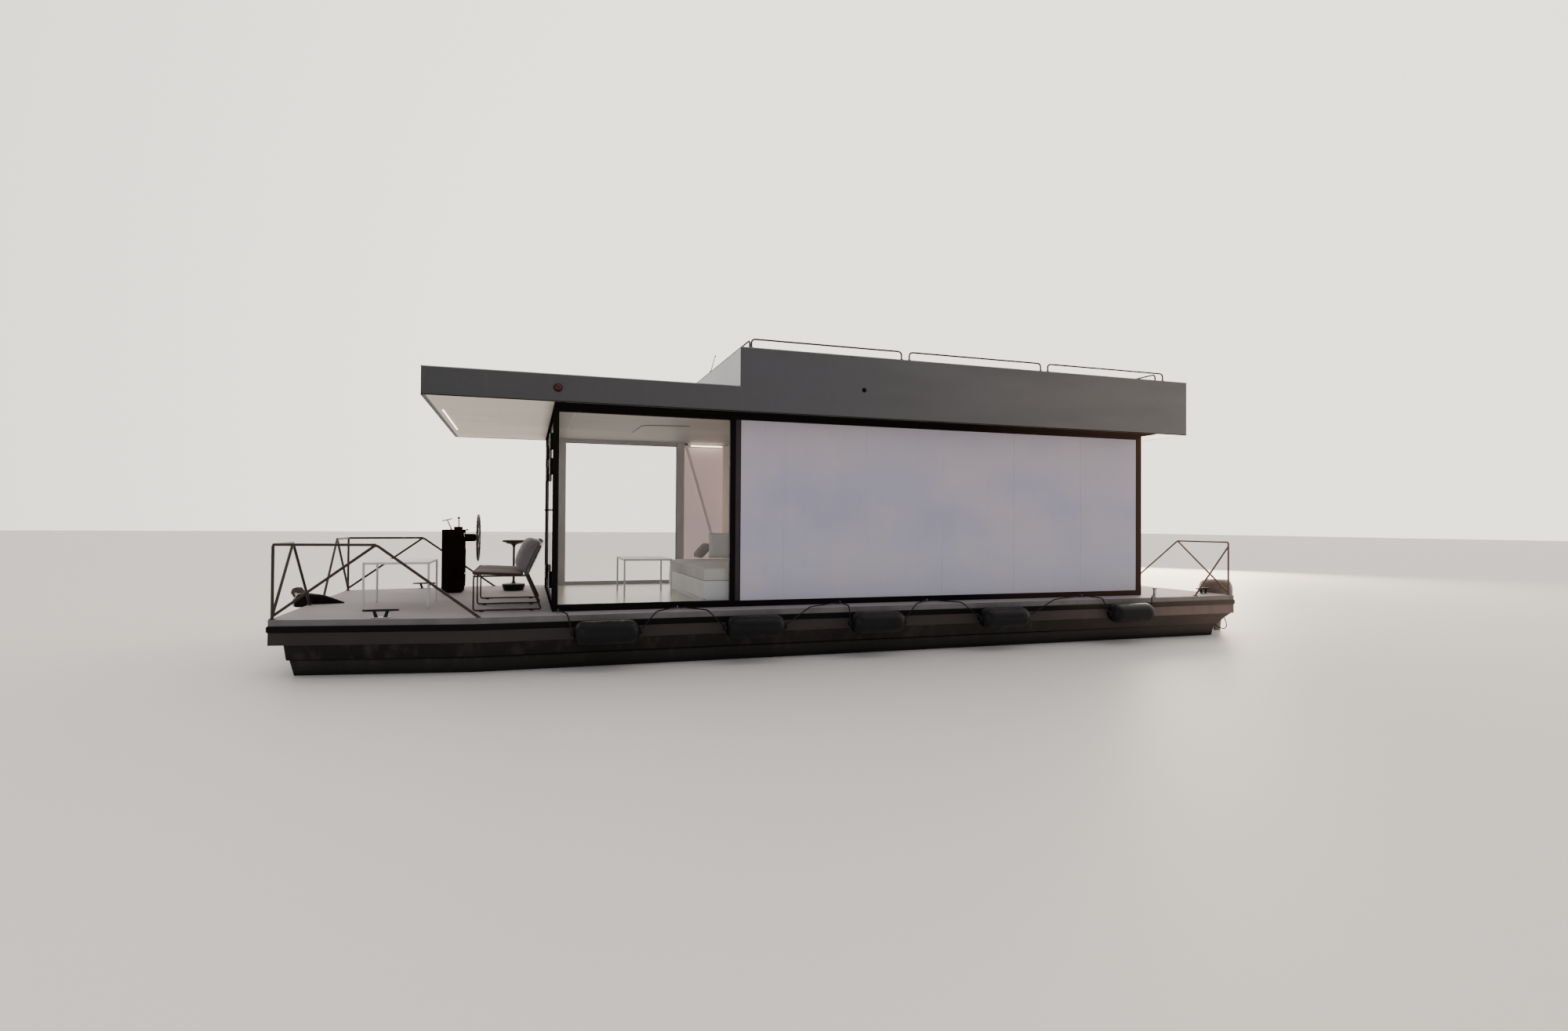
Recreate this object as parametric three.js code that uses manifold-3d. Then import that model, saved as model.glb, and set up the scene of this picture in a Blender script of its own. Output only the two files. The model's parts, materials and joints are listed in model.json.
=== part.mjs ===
// A flat-roofed houseboat on two floats: a cabin of glass and ribbed panels, a canopy over the foredeck,
// a raised roof with a sunken terrace, folding glass leaves at the front and two outboard motors.
// Millimetres, +Z up, +X towards the stern, +Y to starboard, z = 0 at the floats' flat bottoms.
// Lengths along the boat are counted from the cabin's fore wall, and the whole is centred at the end.
import * as THREE from "three";
import { mergeVertices } from "three/addons/utils/BufferGeometryUtils.js";
import Module from "manifold-3d";

const wasm = await Module();
wasm.setup();

// Driving dimensions of the hull and deck
const deckTop = 1000;
const deckFore = -2600;
const deckAft = 9080;
const deckHalf = 2055;
const bowHalf = 1720;
const knuckleX = -750;
const deckDepth = 245;
const rubTop = 62;
const rubHeight = 60;
const rubOut = 16;
const floatInner = 960;
const ledge = 400;
const chineHalf = 2035;
const ledgeHalf = 1950;
const floatHalf = 1915;
const keelHalf = 1890;
const beamStations = [-1500, 1700, 4900, 8100];
const beamSize = 150;

// Driving dimensions of the cabin
const wallOuter = 1705;
const wallThick = 60;
const wallInner = wallOuter - wallThick;
const forePost = 50;
const midPost = [1948, 2068];
const aftPost = [7716, 7806];
const sillTop = 68;
const headLow = 2144;
const soffitHeight = 2200;
const floorThick = 25;
const glassThick = 24;
const panelThick = 40;
const bulkheadX = 2760;
const bulkheadThick = 40;
const passage = [720, 1500];
const passageHeight = 1980;

// Driving dimensions of the roof
const roofFore = -1262;
const roofAft = 8298;
const roofHalf = 2000;
const canopyTop = 2483;
const stepX = 1979;
const terraceTop = 2920;
const terraceFloor = 2600;
const terraceAft = 7815;
const parapet = 150;
const ceilingThick = 15;
const ceilingInset = 40;

// Driving dimensions of the folding front and the aft door
const leafX = [24, 36];
const leafFoot = 30;
const leafHead = 2140;
const frontStile = 28;
const leafClear = 6;
const meetClear = 6;
const knuckleClear = 8;
const knuckleRadius = 7;
const hingeBlock = { length: 52, x: [-8, 50], height: 190 };
const hingeHeights = [280, 1610, 1905];
const doorHalf = 375;
const doorHinge = 385;
const doorFrame = 395;
const doorTop = 1985;
const doorThick = 40;

// Driving dimensions of the rails, fenders and drives
const bowTube = 14;
const sternTube = 12;
const railHeight = 720;
const roofRailTube = 10;
const roofRailHeight = 100;
const fenderRadius = 122;
const fenderLength = 720;
const ropeRadius = 8;
const driveY = 1515;
const cowlX = 9345;
const cowlHalf = [205, 230];
const steerX = 9250;
const gearHeight = 240;
const gearAft = 9470;
const hubLength = 80;
const propRadius = 125;
const touch = 0.3;

// The boat reaches from the anchor roller to the propellers' hubs, and is centred between them
const rollerNose = -2830;
const midship = (rollerNose + gearAft + touch + hubLength) / 2;

const finishes = {
  hull: [0x4b443f, 0.6, 0.3],
  deck: [0x8d8a90, 0.75, 0.0],
  rub: [0x2b2725, 0.8, 0.0],
  frame: [0x1d1b1c, 0.45, 0.5],
  roof: [0x6a6867, 0.5, 0.3],
  white: [0xd8d2c8, 0.6, 0.0],
  panel: [0xd5d2de, 0.4, 0.0],
  glass: [0xbfd2d4, 0.05, 0.0],
  rail: [0x3a2c22, 0.45, 0.6],
  steel: [0x8a8784, 0.35, 0.9],
  console: [0x171514, 0.5, 0.1],
  motor: [0x4c3a33, 0.5, 0.1],
  fabric: [0x6c6a76, 0.9, 0.0],
  linen: [0xc9c2b8, 0.9, 0.0],
  red: [0x7a1716, 0.3, 0.0],
  green: [0x14603a, 0.3, 0.0],
};

const boat = new THREE.Group();
boat.position.x = -midship;

// Adds one finished piece of the boat under its own name.
function piece(name, geometry, finish, parent = boat) {
  const [color, roughness, metalness] = finishes[finish];
  const mesh = new THREE.Mesh(
    geometry,
    new THREE.MeshStandardMaterial({ color, roughness, metalness }),
  );
  mesh.name = name;
  parent.add(mesh);
  return mesh;
}

// Turns a closed geometry into a solid that can be joined or cut.
function solid(geometry) {
  const bare = geometry.clone();
  bare.deleteAttribute("normal");
  bare.deleteAttribute("uv");
  const merged = mergeVertices(bare, 1e-4);
  return new wasm.Manifold(
    new wasm.Mesh({
      numProp: 3,
      vertProperties: merged.attributes.position.array,
      triVerts: new Uint32Array(merged.index.array),
    }),
  );
}

// Turns a solid back into a geometry.
function shown(body) {
  const mesh = body.getMesh();
  return new THREE.BufferGeometry()
    .setAttribute("position", new THREE.BufferAttribute(mesh.vertProperties, 3))
    .setIndex(new THREE.BufferAttribute(mesh.triVerts, 1));
}

function join(...geometries) {
  return shown(geometries.map(solid).reduce((all, next) => all.add(next)));
}

function cut(geometry, ...tools) {
  return shown(tools.map(solid).reduce((rest, tool) => rest.subtract(tool), solid(geometry)));
}

function common(a, b) {
  return shown(solid(a).intersect(solid(b)));
}

// A block between two corners; z is counted from the deck's top.
function block(x, y, z) {
  return new THREE.BoxGeometry(x[1] - x[0], y[1] - y[0], z[1] - z[0]).translate(
    (x[0] + x[1]) / 2,
    (y[0] + y[1]) / 2,
    deckTop + (z[0] + z[1]) / 2,
  );
}

function outline(points) {
  return new THREE.Shape(points.map(([u, v]) => new THREE.Vector2(u, v)));
}

// A plan outline raised between two heights above the deck's top.
function plate(points, z) {
  return new THREE.ExtrudeGeometry(outline(points), {
    depth: z[1] - z[0],
    bevelEnabled: false,
  }).translate(0, 0, deckTop + z[0]);
}

// A side outline of x and height above the deck's top, carried across the boat from y[0] to y[1].
function profile(points, y) {
  return new THREE.ExtrudeGeometry(outline(points), { depth: y[1] - y[0], bevelEnabled: false })
    .rotateX(Math.PI / 2)
    .translate(0, y[1], deckTop);
}

function mirrored(points) {
  return points.map(([x, y]) => [x, -y]).reverse();
}

// A section of y and height above the deck's top, carried along the boat from x[0] to x[1].
function run(points, x) {
  const turn = new THREE.Matrix4().makeBasis(
    new THREE.Vector3(0, 1, 0),
    new THREE.Vector3(0, 0, 1),
    new THREE.Vector3(1, 0, 0),
  );
  return new THREE.ExtrudeGeometry(outline(points), { depth: x[1] - x[0], bevelEnabled: false })
    .applyMatrix4(turn)
    .translate(x[0], 0, deckTop);
}

// A straight round bar between two points whose heights are counted from the deck's top.
function rod(a, b, radius, sides = 8) {
  const from = new THREE.Vector3(a[0], a[1], a[2] + deckTop);
  const to = new THREE.Vector3(b[0], b[1], b[2] + deckTop);
  const along = to.clone().sub(from);
  const turn = new THREE.Quaternion().setFromUnitVectors(
    new THREE.Vector3(0, 1, 0),
    along.clone().normalize(),
  );
  const middle = from.add(to).multiplyScalar(0.5);
  return new THREE.CylinderGeometry(radius, radius, along.length(), sides)
    .applyQuaternion(turn)
    .translate(middle.x, middle.y, middle.z);
}

// A route that an extrusion follows from point to point, square to the bend at each of them.
class Route extends THREE.Curve {
  constructor(points) {
    super();
    this.points = points;
  }

  getPointAt(u) {
    return this.points[Math.round(u * (this.points.length - 1))].clone();
  }

  getTangentAt(u) {
    const i = Math.round(u * (this.points.length - 1));
    const here = this.points[i];
    const before = this.points[Math.max(i - 1, 0)].clone();
    const after = this.points[Math.min(i + 1, this.points.length - 1)].clone();
    const arriving = here.clone().sub(before).normalize();
    const leaving = after.sub(here).normalize();
    return arriving.add(leaving).normalize();
  }
}

// A bent tube through a list of points, with each corner rounded over the given length.
function pipe(points, radius, bend = 45, sides = 6) {
  const way = points.map(([x, y, z]) => new THREE.Vector3(x, y, z + deckTop));
  const corners = way.slice(1, -1).flatMap((corner, i) => {
    const before = way[i].clone().sub(corner).setLength(bend).add(corner);
    const after = way[i + 2].clone().sub(corner).setLength(bend).add(corner);
    return new THREE.QuadraticBezierCurve3(before, corner, after).getPoints(2);
  });
  const route = new Route([way[0], ...corners, way[way.length - 1]]);
  const circle = Array.from({ length: sides }, (_, k) => {
    const angle = (2 * Math.PI * k) / sides;
    return [radius * Math.cos(angle), radius * Math.sin(angle)];
  });
  return new THREE.ExtrudeGeometry(outline(circle), {
    steps: route.points.length - 1,
    extrudePath: route,
    bevelEnabled: false,
  });
}

// Cuts off what a slanting tube's foot would sink into the surface that it stands on.
function standing(geometry, surface = 0) {
  return cut(geometry, block([-3500, 10500], [-3500, 3500], [surface - 200, surface]));
}

function side(sign, [low, high]) {
  return sign < 0 ? [-high, -low] : [low, high];
}

// Hull: deck platform with its cross beams, rubbing strake and two flat-bottomed floats
const bowTaper = (deckHalf - bowHalf) / (knuckleX - deckFore);

function deckOutline(out) {
  const half = [
    [deckFore - out, bowHalf - bowTaper * out + out],
    [knuckleX, deckHalf + out],
    [deckAft + out, deckHalf + out],
  ];
  return [...half, ...mirrored(half)];
}

function deckPlatform() {
  const slab = plate(deckOutline(0), [-deckDepth, 0]);
  const beams = beamStations.map((x) =>
    block([x, x + beamSize], [-floatInner, floatInner], [-deckDepth - beamSize, -deckDepth + 10]),
  );
  return join(slab, ...beams);
}

function rubbingStrake() {
  const z = [-rubTop - rubHeight, -rubTop];
  return cut(plate(deckOutline(rubOut), z), plate(deckOutline(0), [z[0] - 10, z[1] + 10]));
}

// The float's section keeps its shape along the boat, and leans in with the deck's edge at the bow.
function float(sign) {
  const section = [
    [0, -deckDepth],
    [chineHalf, -deckDepth],
    [ledgeHalf, -ledge],
    [floatHalf, -ledge],
    [keelHalf, -deckTop],
    [0, -deckTop],
  ].map(([y, z]) => [sign * y, z]);
  const lean = new THREE.Matrix4().set(
    1, 0, 0, 0,
    sign * bowTaper, 1, 0, -sign * bowTaper * knuckleX,
    0, 0, 1, 0,
    0, 0, 0, 1,
  );
  const shell = join(
    run(section, [knuckleX, deckAft]),
    run(section, [deckFore, knuckleX]).applyMatrix4(lean),
  );
  const keelLine = [
    [-2466, -deckDepth],
    [-2466, -ledge],
    [-2446, -ledge],
    [-2392, -600],
    [-2000, -deckTop],
    [8350, -deckTop],
    [8830, -560],
    [8880, -424],
    [8970, -313],
    [9060, -deckDepth],
  ];
  return common(shell, profile(keelLine, side(sign, [floatInner, deckHalf])));
}

piece("deck_platform", deckPlatform(), "deck");
piece("rubbing_strake", rubbingStrake(), "rub");
piece("float_port", float(-1), "hull");
piece("float_starboard", float(1), "hull");

// Rails, cleats and ground tackle on the deck
const footPlate = { half: 25, thick: 8 };

function foot(x, y) {
  const reach = footPlate.half;
  return block([x - reach, x + reach], [y - reach, y + reach], [0, footPlate.thick]);
}

function bowRail(sign) {
  const corner = [-2575, sign * 1680];
  const topAft = [-1660, sign * 1845];
  const footAft = [-710, sign * 2010];
  const apex = [-2575, sign * 1000];
  const innerFoot = [-2575, sign * 300];
  return standing(
    join(
      pipe([[...topAft, railHeight], [...corner, railHeight], [...apex, railHeight]], bowTube, 25, 8),
      rod([...corner, 0], [...corner, railHeight], bowTube),
      pipe([[...corner, 20], [...topAft, railHeight], [...footAft, -10]], bowTube, 30),
      pipe([[...innerFoot, -10], [...apex, railHeight], [...corner, 20]], bowTube, 30),
      ...[corner, footAft, innerFoot].map(([x, y]) => foot(x, y)),
    ),
  );
}

function sternRail(sign) {
  const corner = [9055, sign * 1990];
  const apex = [9055, sign * 1100];
  const innerFoot = [9055, sign * 100];
  const foreFoot = [8460, sign * 1990];
  const top = railHeight + 15;
  return standing(
    join(
      pipe([[...corner, 0], [...corner, top], [...apex, top]], sternTube, 35),
      pipe([[...innerFoot, -10], [...apex, top], [...corner, 20]], sternTube, 30),
      rod([...corner, top - 60], [...foreFoot, -10], sternTube),
      ...[corner, innerFoot, foreFoot].map(([x, y]) => foot(x, y)),
    ),
  );
}

// A horn cleat: its base, two splayed legs and the bar that a rope is belayed on.
function cleat(x, y, half) {
  const splay = [half / 4, half * 0.37];
  return join(
    block([x - half / 2, x + half / 2], [y - 28, y + 28], [0, 8]),
    rod([x - splay[0], y, 7], [x - splay[1], y, 72], 17),
    rod([x + splay[0], y, 7], [x + splay[1], y, 72], 17),
    rod([x - half, y, 74], [x + half, y, 74], 10, 6),
  );
}

function anchorRoller() {
  const cheek = [
    [-2560, touch],
    [-2640, touch],
    [-2800, 70],
    [rollerNose, 125],
    [-2815, 165],
    [-2794, 180],
    [-2738, 178],
    [-2690, 110],
    [-2640, 60],
    [-2450, 40],
    [-2450, touch],
  ];
  return join(
    profile(cheek, [-46, -36]),
    profile(cheek, [36, 46]),
    block([-2620, -2460], [-40, 40], [touch, 14]),
    rod([-2775, -40, 110], [-2775, 40, 110], 30, 12),
  );
}

// A drop-shaped cover: a round nose that droops over the bow's edge, and a low narrow tail.
function anchorCover() {
  const half = 100;
  const middle = -155;
  const nose = -2780;
  const tail = -2258;
  const edge = deckFore - 4;
  const plan = Array.from({ length: 9 }, (_, k) => {
    const angle = Math.PI / 2 + (Math.PI * k) / 8;
    return [half * Math.cos(angle) + nose + half, half * Math.sin(angle) + middle];
  });
  const sideways = [
    [tail, touch],
    [tail, 12],
    [-2472, 104],
    [-2660, 128],
    [-2740, 105],
    [nose, 40],
    [-2728, -28],
    [edge, -28],
    [edge, touch],
  ];
  const arch = [
    [-half, -30],
    [half, -30],
    [half, 20],
    [80, 80],
    [40, 118],
    [0, 130],
    [-40, 118],
    [-80, 80],
    [-half, 20],
  ].map(([y, z]) => [y + middle, z]);
  const drop = plate([[tail, middle + 12], ...plan, [tail, middle - 12]], [-30, 130]);
  const body = common(profile(sideways, [middle - half, middle + half]), run(arch, [nose, tail]));
  return common(body, drop);
}

piece("bow_rail_port", bowRail(-1), "rail");
piece("bow_rail_starboard", bowRail(1), "rail");
piece("stern_rail_port", sternRail(-1), "rail");
piece("stern_rail_starboard", sternRail(1), "rail");
for (const [name, x, y, half] of [
  ["cleat_fore_port", -1620, -1790, 165],
  ["cleat_fore_starboard", -1620, 1790, 165],
  ["cleat_aft_port", 8840, -1770, 135],
  ["cleat_aft_starboard", 8840, 1770, 135],
]) {
  piece(name, cleat(x, y, half), "frame");
}
piece("anchor_roller", anchorRoller(), "steel");
piece("anchor_cover", anchorCover(), "console");

// Fenders hang in ropes from pad eyes beside the cabin: each row of the list is one fender's middle
const fenderMiddles = [525, 2110, 3570, 5265, 7175];
const padEyes = [60, 1330, 3280, 4440, 6760];
const bollard = { x: 7760, y: 1990, height: 130, radius: 20 };
const fenderDrop = 170;
const eyeHeight = 24;

function fenderLine(sign) {
  const y = sign * (deckHalf + rubOut + fenderRadius + 6);
  const eyeY = sign * (wallOuter + 60);
  const edgeY = sign * (deckHalf + rubOut + 25);
  const anchors = padEyes.map((x) => [x, eyeY, eyeHeight]);
  const parts = padEyes.flatMap((x) => [
    block([x - 30, x + 30], side(sign, [wallOuter + 30, wallOuter + 90]), [0, 8]),
    rod([x, eyeY, 4], [x, eyeY, eyeHeight + 10], 12),
  ]);
  anchors.push([bollard.x, sign * bollard.y, 40]);
  parts.push(
    rod([bollard.x, sign * bollard.y, 0], [bollard.x, sign * bollard.y, bollard.height], bollard.radius),
  );
  fenderMiddles.forEach((x, i) => {
    const reach = fenderLength / 2 - 20;
    parts.push(
      new THREE.CapsuleGeometry(fenderRadius, fenderLength - 2 * fenderRadius, 2, 8)
        .rotateZ(Math.PI / 2)
        .translate(x, y, deckTop - fenderDrop),
    );
    [-1, 1].forEach((end, k) => {
      const start = anchors[i + k];
      const tip = [x + end * reach, y, -fenderDrop];
      const over = [start[0] + (tip[0] - start[0]) * 0.6, edgeY, 20];
      parts.push(pipe([start, over, tip], ropeRadius, 20, 5));
    });
  });
  return join(...parts);
}

piece("fenders_port", fenderLine(-1), "console");
piece("fenders_starboard", fenderLine(1), "console");

// Helm: console with its column, twin levers and display, the wheel, and the stool behind it
const helmY = 1200;
const helmZ = 735;
const wheelX = -889;
const wheelRadius = 326;

function helmConsole() {
  const levers = [1065, 1135].flatMap((y) => [
    rod([-1130, y, 880], [-1135, y, 1005], 9),
    rod([-1135, y - 22, 1005], [-1135, y + 22, 1005], 14),
  ]);
  const display = [
    [-1350, 958],
    [-1226, 988],
    [-1229, 1000],
    [-1353, 970],
  ];
  return join(
    block([-1330, -1070], [930, 1470], [0, 845]),
    rod([-1075, helmY, helmZ], [-925, helmY, helmZ], 52, 16),
    block([-1190, -1090], [1030, 1170], [840, 885]),
    rod([-1235, 1230, 840], [-1290, 1230, 978], 10),
    profile(display, [1130, 1330]),
    ...levers,
  );
}

function helmWheel() {
  const rim = new THREE.TorusGeometry(wheelRadius - 16, 16, 6, 24)
    .rotateY(Math.PI / 2)
    .translate(wheelX, helmY, deckTop + helmZ);
  const spokes = [0, 1, 2].map((k) => {
    const angle = Math.PI / 2 + (k * 2 * Math.PI) / 3;
    const reach = wheelRadius - 16;
    const tip = [wheelX, helmY + reach * Math.cos(angle), helmZ + reach * Math.sin(angle)];
    return rod([wheelX, helmY, helmZ], tip, 11);
  });
  const hub = rod([-925 + touch, helmY, helmZ], [wheelX + 20, helmY, helmZ], 40, 16);
  return join(rim, hub, ...spokes);
}

function stool() {
  const half = [
    [0, 0],
    [126, 0],
    [133, 8],
    [150, 60],
    [155, 80],
    [150, 92],
    [60, 100],
    [26, 112],
    [16, 130],
    [15, 600],
    [24, 628],
    [70, 650],
    [105, 655],
    [108, 668],
    [150, 674],
    [155, 688],
    [150, 702],
    [0, 702],
  ].map(([r, z]) => new THREE.Vector2(r, z));
  return new THREE.LatheGeometry(half, 20)
    .rotateX(Math.PI / 2)
    .translate(-425, helmY, deckTop);
}

piece("helm_console", helmConsole(), "console");
piece("helm_wheel", helmWheel(), "console");
piece("helm_stool", stool(), "console");

// Furniture on the foredeck and in the cabin
const bench = {
  fore: -790,
  aftTop: -258,
  aftFoot: -105,
  seat: 385,
  loops: [-1500, -790, -80],
  backTop: [-114, 689],
  sling: 12,
};

function benchFrame() {
  const wire = 9;
  const low = wire + 6;
  const high = bench.seat - wire;
  const sleds = bench.loops.flatMap((y) => [
    pipe(
      [
        [bench.aftTop + 3, y, high],
        [bench.fore, y, high],
        [bench.fore, y, low],
        [bench.aftFoot, y, low],
        [bench.aftTop, y, high - 4],
      ],
      wire,
      25,
    ),
    rod([bench.aftTop, y, high + 2], [bench.backTop[0], y, bench.backTop[1]], wire, 6),
    ball([bench.aftTop, y, high], wire + 4),
    block([bench.fore + 60, bench.fore + 100], [y - 12, y + 12], [0, 12]),
    block([bench.aftFoot - 120, bench.aftFoot - 80], [y - 12, y + 12], [0, 12]),
  ]);
  const cross = [[bench.fore, high], [bench.aftTop, high], bench.backTop].map(([x, z]) =>
    rod([x, bench.loops[0] - 4, z], [x, bench.loops[2] + 4, z], wire - 1, 6),
  );
  return join(...sleds, ...cross);
}

function ball(at, radius) {
  return new THREE.SphereGeometry(radius, 8, 6).translate(at[0], at[1], at[2] + deckTop);
}

// A pad on the fore part of the seat, with the thin sling that carries the back cushions behind it.
function benchSeat() {
  const low = bench.seat + touch;
  const section = [
    [bench.fore - 5, low],
    [-275, low],
    [-275, low + bench.sling],
    [-425, low + bench.sling],
    [-425, low + 60],
    [bench.fore + 15, low + 80],
    [bench.fore - 14, low + 45],
  ];
  return profile(section, [bench.loops[0] + 15, bench.loops[2] - 15]);
}

// A cushion that leans on the bench's back and rests on the sling.
function backCushion(y) {
  const thick = 165;
  const tall = 405;
  const round = 45;
  const foot = new THREE.Vector2(bench.aftTop, bench.seat - 9);
  const up = new THREE.Vector2(...bench.backTop).sub(foot).normalize();
  const off = new THREE.Vector2(-up.y, up.x);
  const back = 9 + touch;
  const rest = bench.seat + touch + bench.sling + touch;
  const low = (rest - foot.y - off.y * (back + round)) / up.y;
  const section = [
    [low, back + round],
    [low + round, back],
    [low + tall - round, back],
    [low + tall, back + round],
    [low + tall, back + thick - round],
    [low + tall - round, back + thick],
    [low + round, back + thick],
    [low, back + thick - round],
  ].map(([u, v]) => [foot.x + up.x * u + off.x * v, foot.y + up.y * u + off.y * v]);
  return profile(section, y);
}

// A cushion with rounded edges, leant over, turned to its facing and set down on the height at[2].
function softBlock(size, lean, facing, at) {
  const [x, y, z] = size;
  const round = 0.32;
  const section = [
    [-x / 2, -z / 2 + z * round],
    [-x / 2 + x * round, -z / 2],
    [x / 2 - x * round, -z / 2],
    [x / 2, -z / 2 + z * round],
    [x / 2, z / 2 - z * round],
    [x / 2 - x * round, z / 2],
    [-x / 2 + x * round, z / 2],
    [-x / 2, z / 2 - z * round],
  ];
  const cushion = new THREE.ExtrudeGeometry(outline(section), { depth: y, bevelEnabled: false })
    .rotateX(Math.PI / 2)
    .translate(0, y / 2, 0)
    .rotateY(lean)
    .rotateZ(facing);
  cushion.computeBoundingBox();
  return cushion.translate(at[0], at[1], deckTop + at[2] + touch - cushion.boundingBox.min.z);
}

// A wire table: a thin top on four square legs
function wireTable(x, y, top, foot) {
  const leg = 22;
  const legs = [x[0], x[1] - leg].flatMap((lx) =>
    [y[0], y[1] - leg].map((ly) => block([lx, lx + leg], [ly, ly + leg], [foot, top - 5])),
  );
  return join(block(x, y, [top - 24, top]), ...legs);
}

const daybed = { x: [1660, 2700], y: [-1600, 630], base: 290, top: 450 };

function daybedBase() {
  const kick = 30;
  return join(
    block([daybed.x[0] + kick, daybed.x[1]], daybed.y, [floorThick, 90]),
    block(daybed.x, daybed.y, [89, daybed.base]),
  );
}

piece("bench_frame", benchFrame(), "rail");
piece("bench_seat", benchSeat(), "fabric");
piece("bench_cushion_port", backCushion([-1460, -840]), "fabric");
piece("bench_cushion_starboard", backCushion([-740, -120]), "fabric");
piece("deck_table", wireTable([-1940, -1275], [-935, -85], 505, 0), "white");
piece("coffee_table", wireTable([905, 1520], [-400, 415], 495, floorThick), "white");
piece("daybed_base", daybedBase(), "white");
piece(
  "daybed_mattress",
  block([daybed.x[0] + 5, daybed.x[1] - 5], [daybed.y[0] + 5, daybed.y[1] - 5], [daybed.base, daybed.top]),
  "linen",
);
piece("daybed_cushion_dark", softBlock([300, 380, 110], -0.8, 0, [2090, 390, daybed.top]), "fabric");
piece("daybed_cushion_light", softBlock([120, 350, 400], 0.06, Math.PI / 2, [2262, 100, daybed.top]), "linen");

// Cabin: floor, black side frames, glass, ribbed panels, aft wall and bulkhead

function sideFrame(sign) {
  const y = side(sign, [wallInner, wallOuter]);
  const whole = block([0, aftPost[1]], y, [0, soffitHeight]);
  const cutY = [y[0] - 10, y[1] + 10];
  const glassBay = block([forePost, midPost[0]], cutY, [sillTop, headLow]);
  const panelBay = block([midPost[1], aftPost[0]], cutY, [sillTop, headLow]);
  return cut(whole, glassBay, panelBay);
}

// A slanting bar inside the starboard side, from the head of the middle post down to the floor.
function windowBrace() {
  const width = 45;
  const footX = 2705;
  const head = headLow + 20;
  const low = floorThick + touch;
  const bar = [
    [midPost[1], head],
    [midPost[1] + width, head],
    [footX + width, low],
    [footX, low],
  ];
  return profile(bar, [wallInner - 30, wallInner]);
}

function inFrame(sign, x, thick, outerInset) {
  const outer = wallOuter - outerInset;
  const gap = touch;
  return block(
    [x[0] + gap, x[1] - gap],
    side(sign, [outer - thick, outer]),
    [sillTop + gap, headLow - gap],
  );
}

function frontFrame() {
  const x = [0, 60];
  const whole = block(x, [-wallInner, wallInner], [0, soffitHeight]);
  const y = wallInner - frontStile;
  return cut(whole, block([x[0] - 10, x[1] + 10], [-y, y], [leafFoot - 10, leafHead + 10]));
}

function hingeBarrel(x, y, low, high) {
  return rod([x, y, low], [x, y, high], knuckleRadius);
}

const doorHingeHeights = [300, 1000, 1700];
const doorAxisX = aftPost[1] + 3;
const doorLight = { y: [-230, 230], z: [900, 1800] };

function aftWall() {
  const x = [aftPost[1] - wallThick, aftPost[1]];
  const whole = block(x, [-wallInner, wallInner], [0, soffitHeight]);
  const doorway = block([x[0] - 10, x[1] + 10], [-doorFrame, doorHalf + 6], [20, doorTop]);
  const stopX = [x[0], x[1] - doorThick - 6];
  const stop = cut(
    block(stopX, [-doorFrame - 5, doorHalf + 11], [15, doorTop + 5]),
    block([stopX[0] - 5, stopX[1] + 5], [-doorHalf + 20, doorHalf - 20], [45, doorTop - 30]),
  );
  const hinges = doorHingeHeights.flatMap((z) => [
    hingeBarrel(doorAxisX, -doorHinge, z + touch, z + 60),
    block([aftPost[1] - 2, aftPost[1] + 4], [-doorHinge - 45, -doorHinge], [z + touch, z + 60]),
  ]);
  return join(cut(whole, doorway), stop, ...hinges);
}

function aftDoor() {
  const x = [aftPost[1] - doorThick, aftPost[1]];
  const leaf = block(x, [-doorHalf, doorHalf], [26, doorTop - 6]);
  const middle = (x[0] + x[1]) / 2;
  const recesses = [
    [x[0] - 5, middle - 4],
    [middle + 4, x[1] + 5],
  ].map((span) => block(span, doorLight.y, doorLight.z));
  const hinges = doorHingeHeights.flatMap((z) => [
    hingeBarrel(doorAxisX, -doorHinge, z - 60, z),
    block([aftPost[1] - 2, aftPost[1] + 4], [-doorHinge, -doorHinge + 45], [z - 60, z]),
  ]);
  const handle = [
    rod([x[1] - 5, 310, 1050], [x[1] + 50, 310, 1050], 9),
    rod([x[1] + 50, 318, 1050], [x[1] + 50, 200, 1050], 9),
  ];
  return join(cut(leaf, ...recesses), ...hinges, ...handle);
}

function bulkhead() {
  const x = [bulkheadX, bulkheadX + bulkheadThick];
  const whole = block(x, [-wallInner, wallInner], [floorThick, soffitHeight]);
  return cut(whole, block([x[0] - 10, x[1] + 10], passage, [floorThick - 10, passageHeight]));
}

piece(
  "cabin_floor",
  block([60, aftPost[1] - wallThick], [-wallInner, wallInner], [0, floorThick]),
  "linen",
);
for (const [name, sign] of [
  ["port", -1],
  ["starboard", 1],
]) {
  piece("side_frame_" + name, sideFrame(sign), "frame");
  piece("side_glass_" + name, inFrame(sign, [forePost, midPost[0]], glassThick, 18), "glass");
  piece("ribbed_panel_" + name, inFrame(sign, [midPost[1], aftPost[0]], panelThick, 6), "panel");
}
piece("window_brace", windowBrace(), "frame");
piece("front_frame", frontFrame(), "frame");
piece("aft_wall", aftWall(), "frame");
piece("aft_door", aftDoor(), "frame");
piece("bulkhead", bulkhead(), "white");

// Folding front: two pairs of glass leaves. Each pair turns on pivots beside the side post and folds inwards.
const rootEdge = wallInner - frontStile - leafClear;
const pairMiddle = (rootEdge + meetClear) / 2;
const rootPivot = { x: 42, inset: 12 };
const foldPivotX = hingeBlock.x[0] - 2.5;

function leafPane(sign, inner, outer) {
  return block(leafX, side(sign, [inner, outer]), [leafFoot, leafHead]);
}

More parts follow.
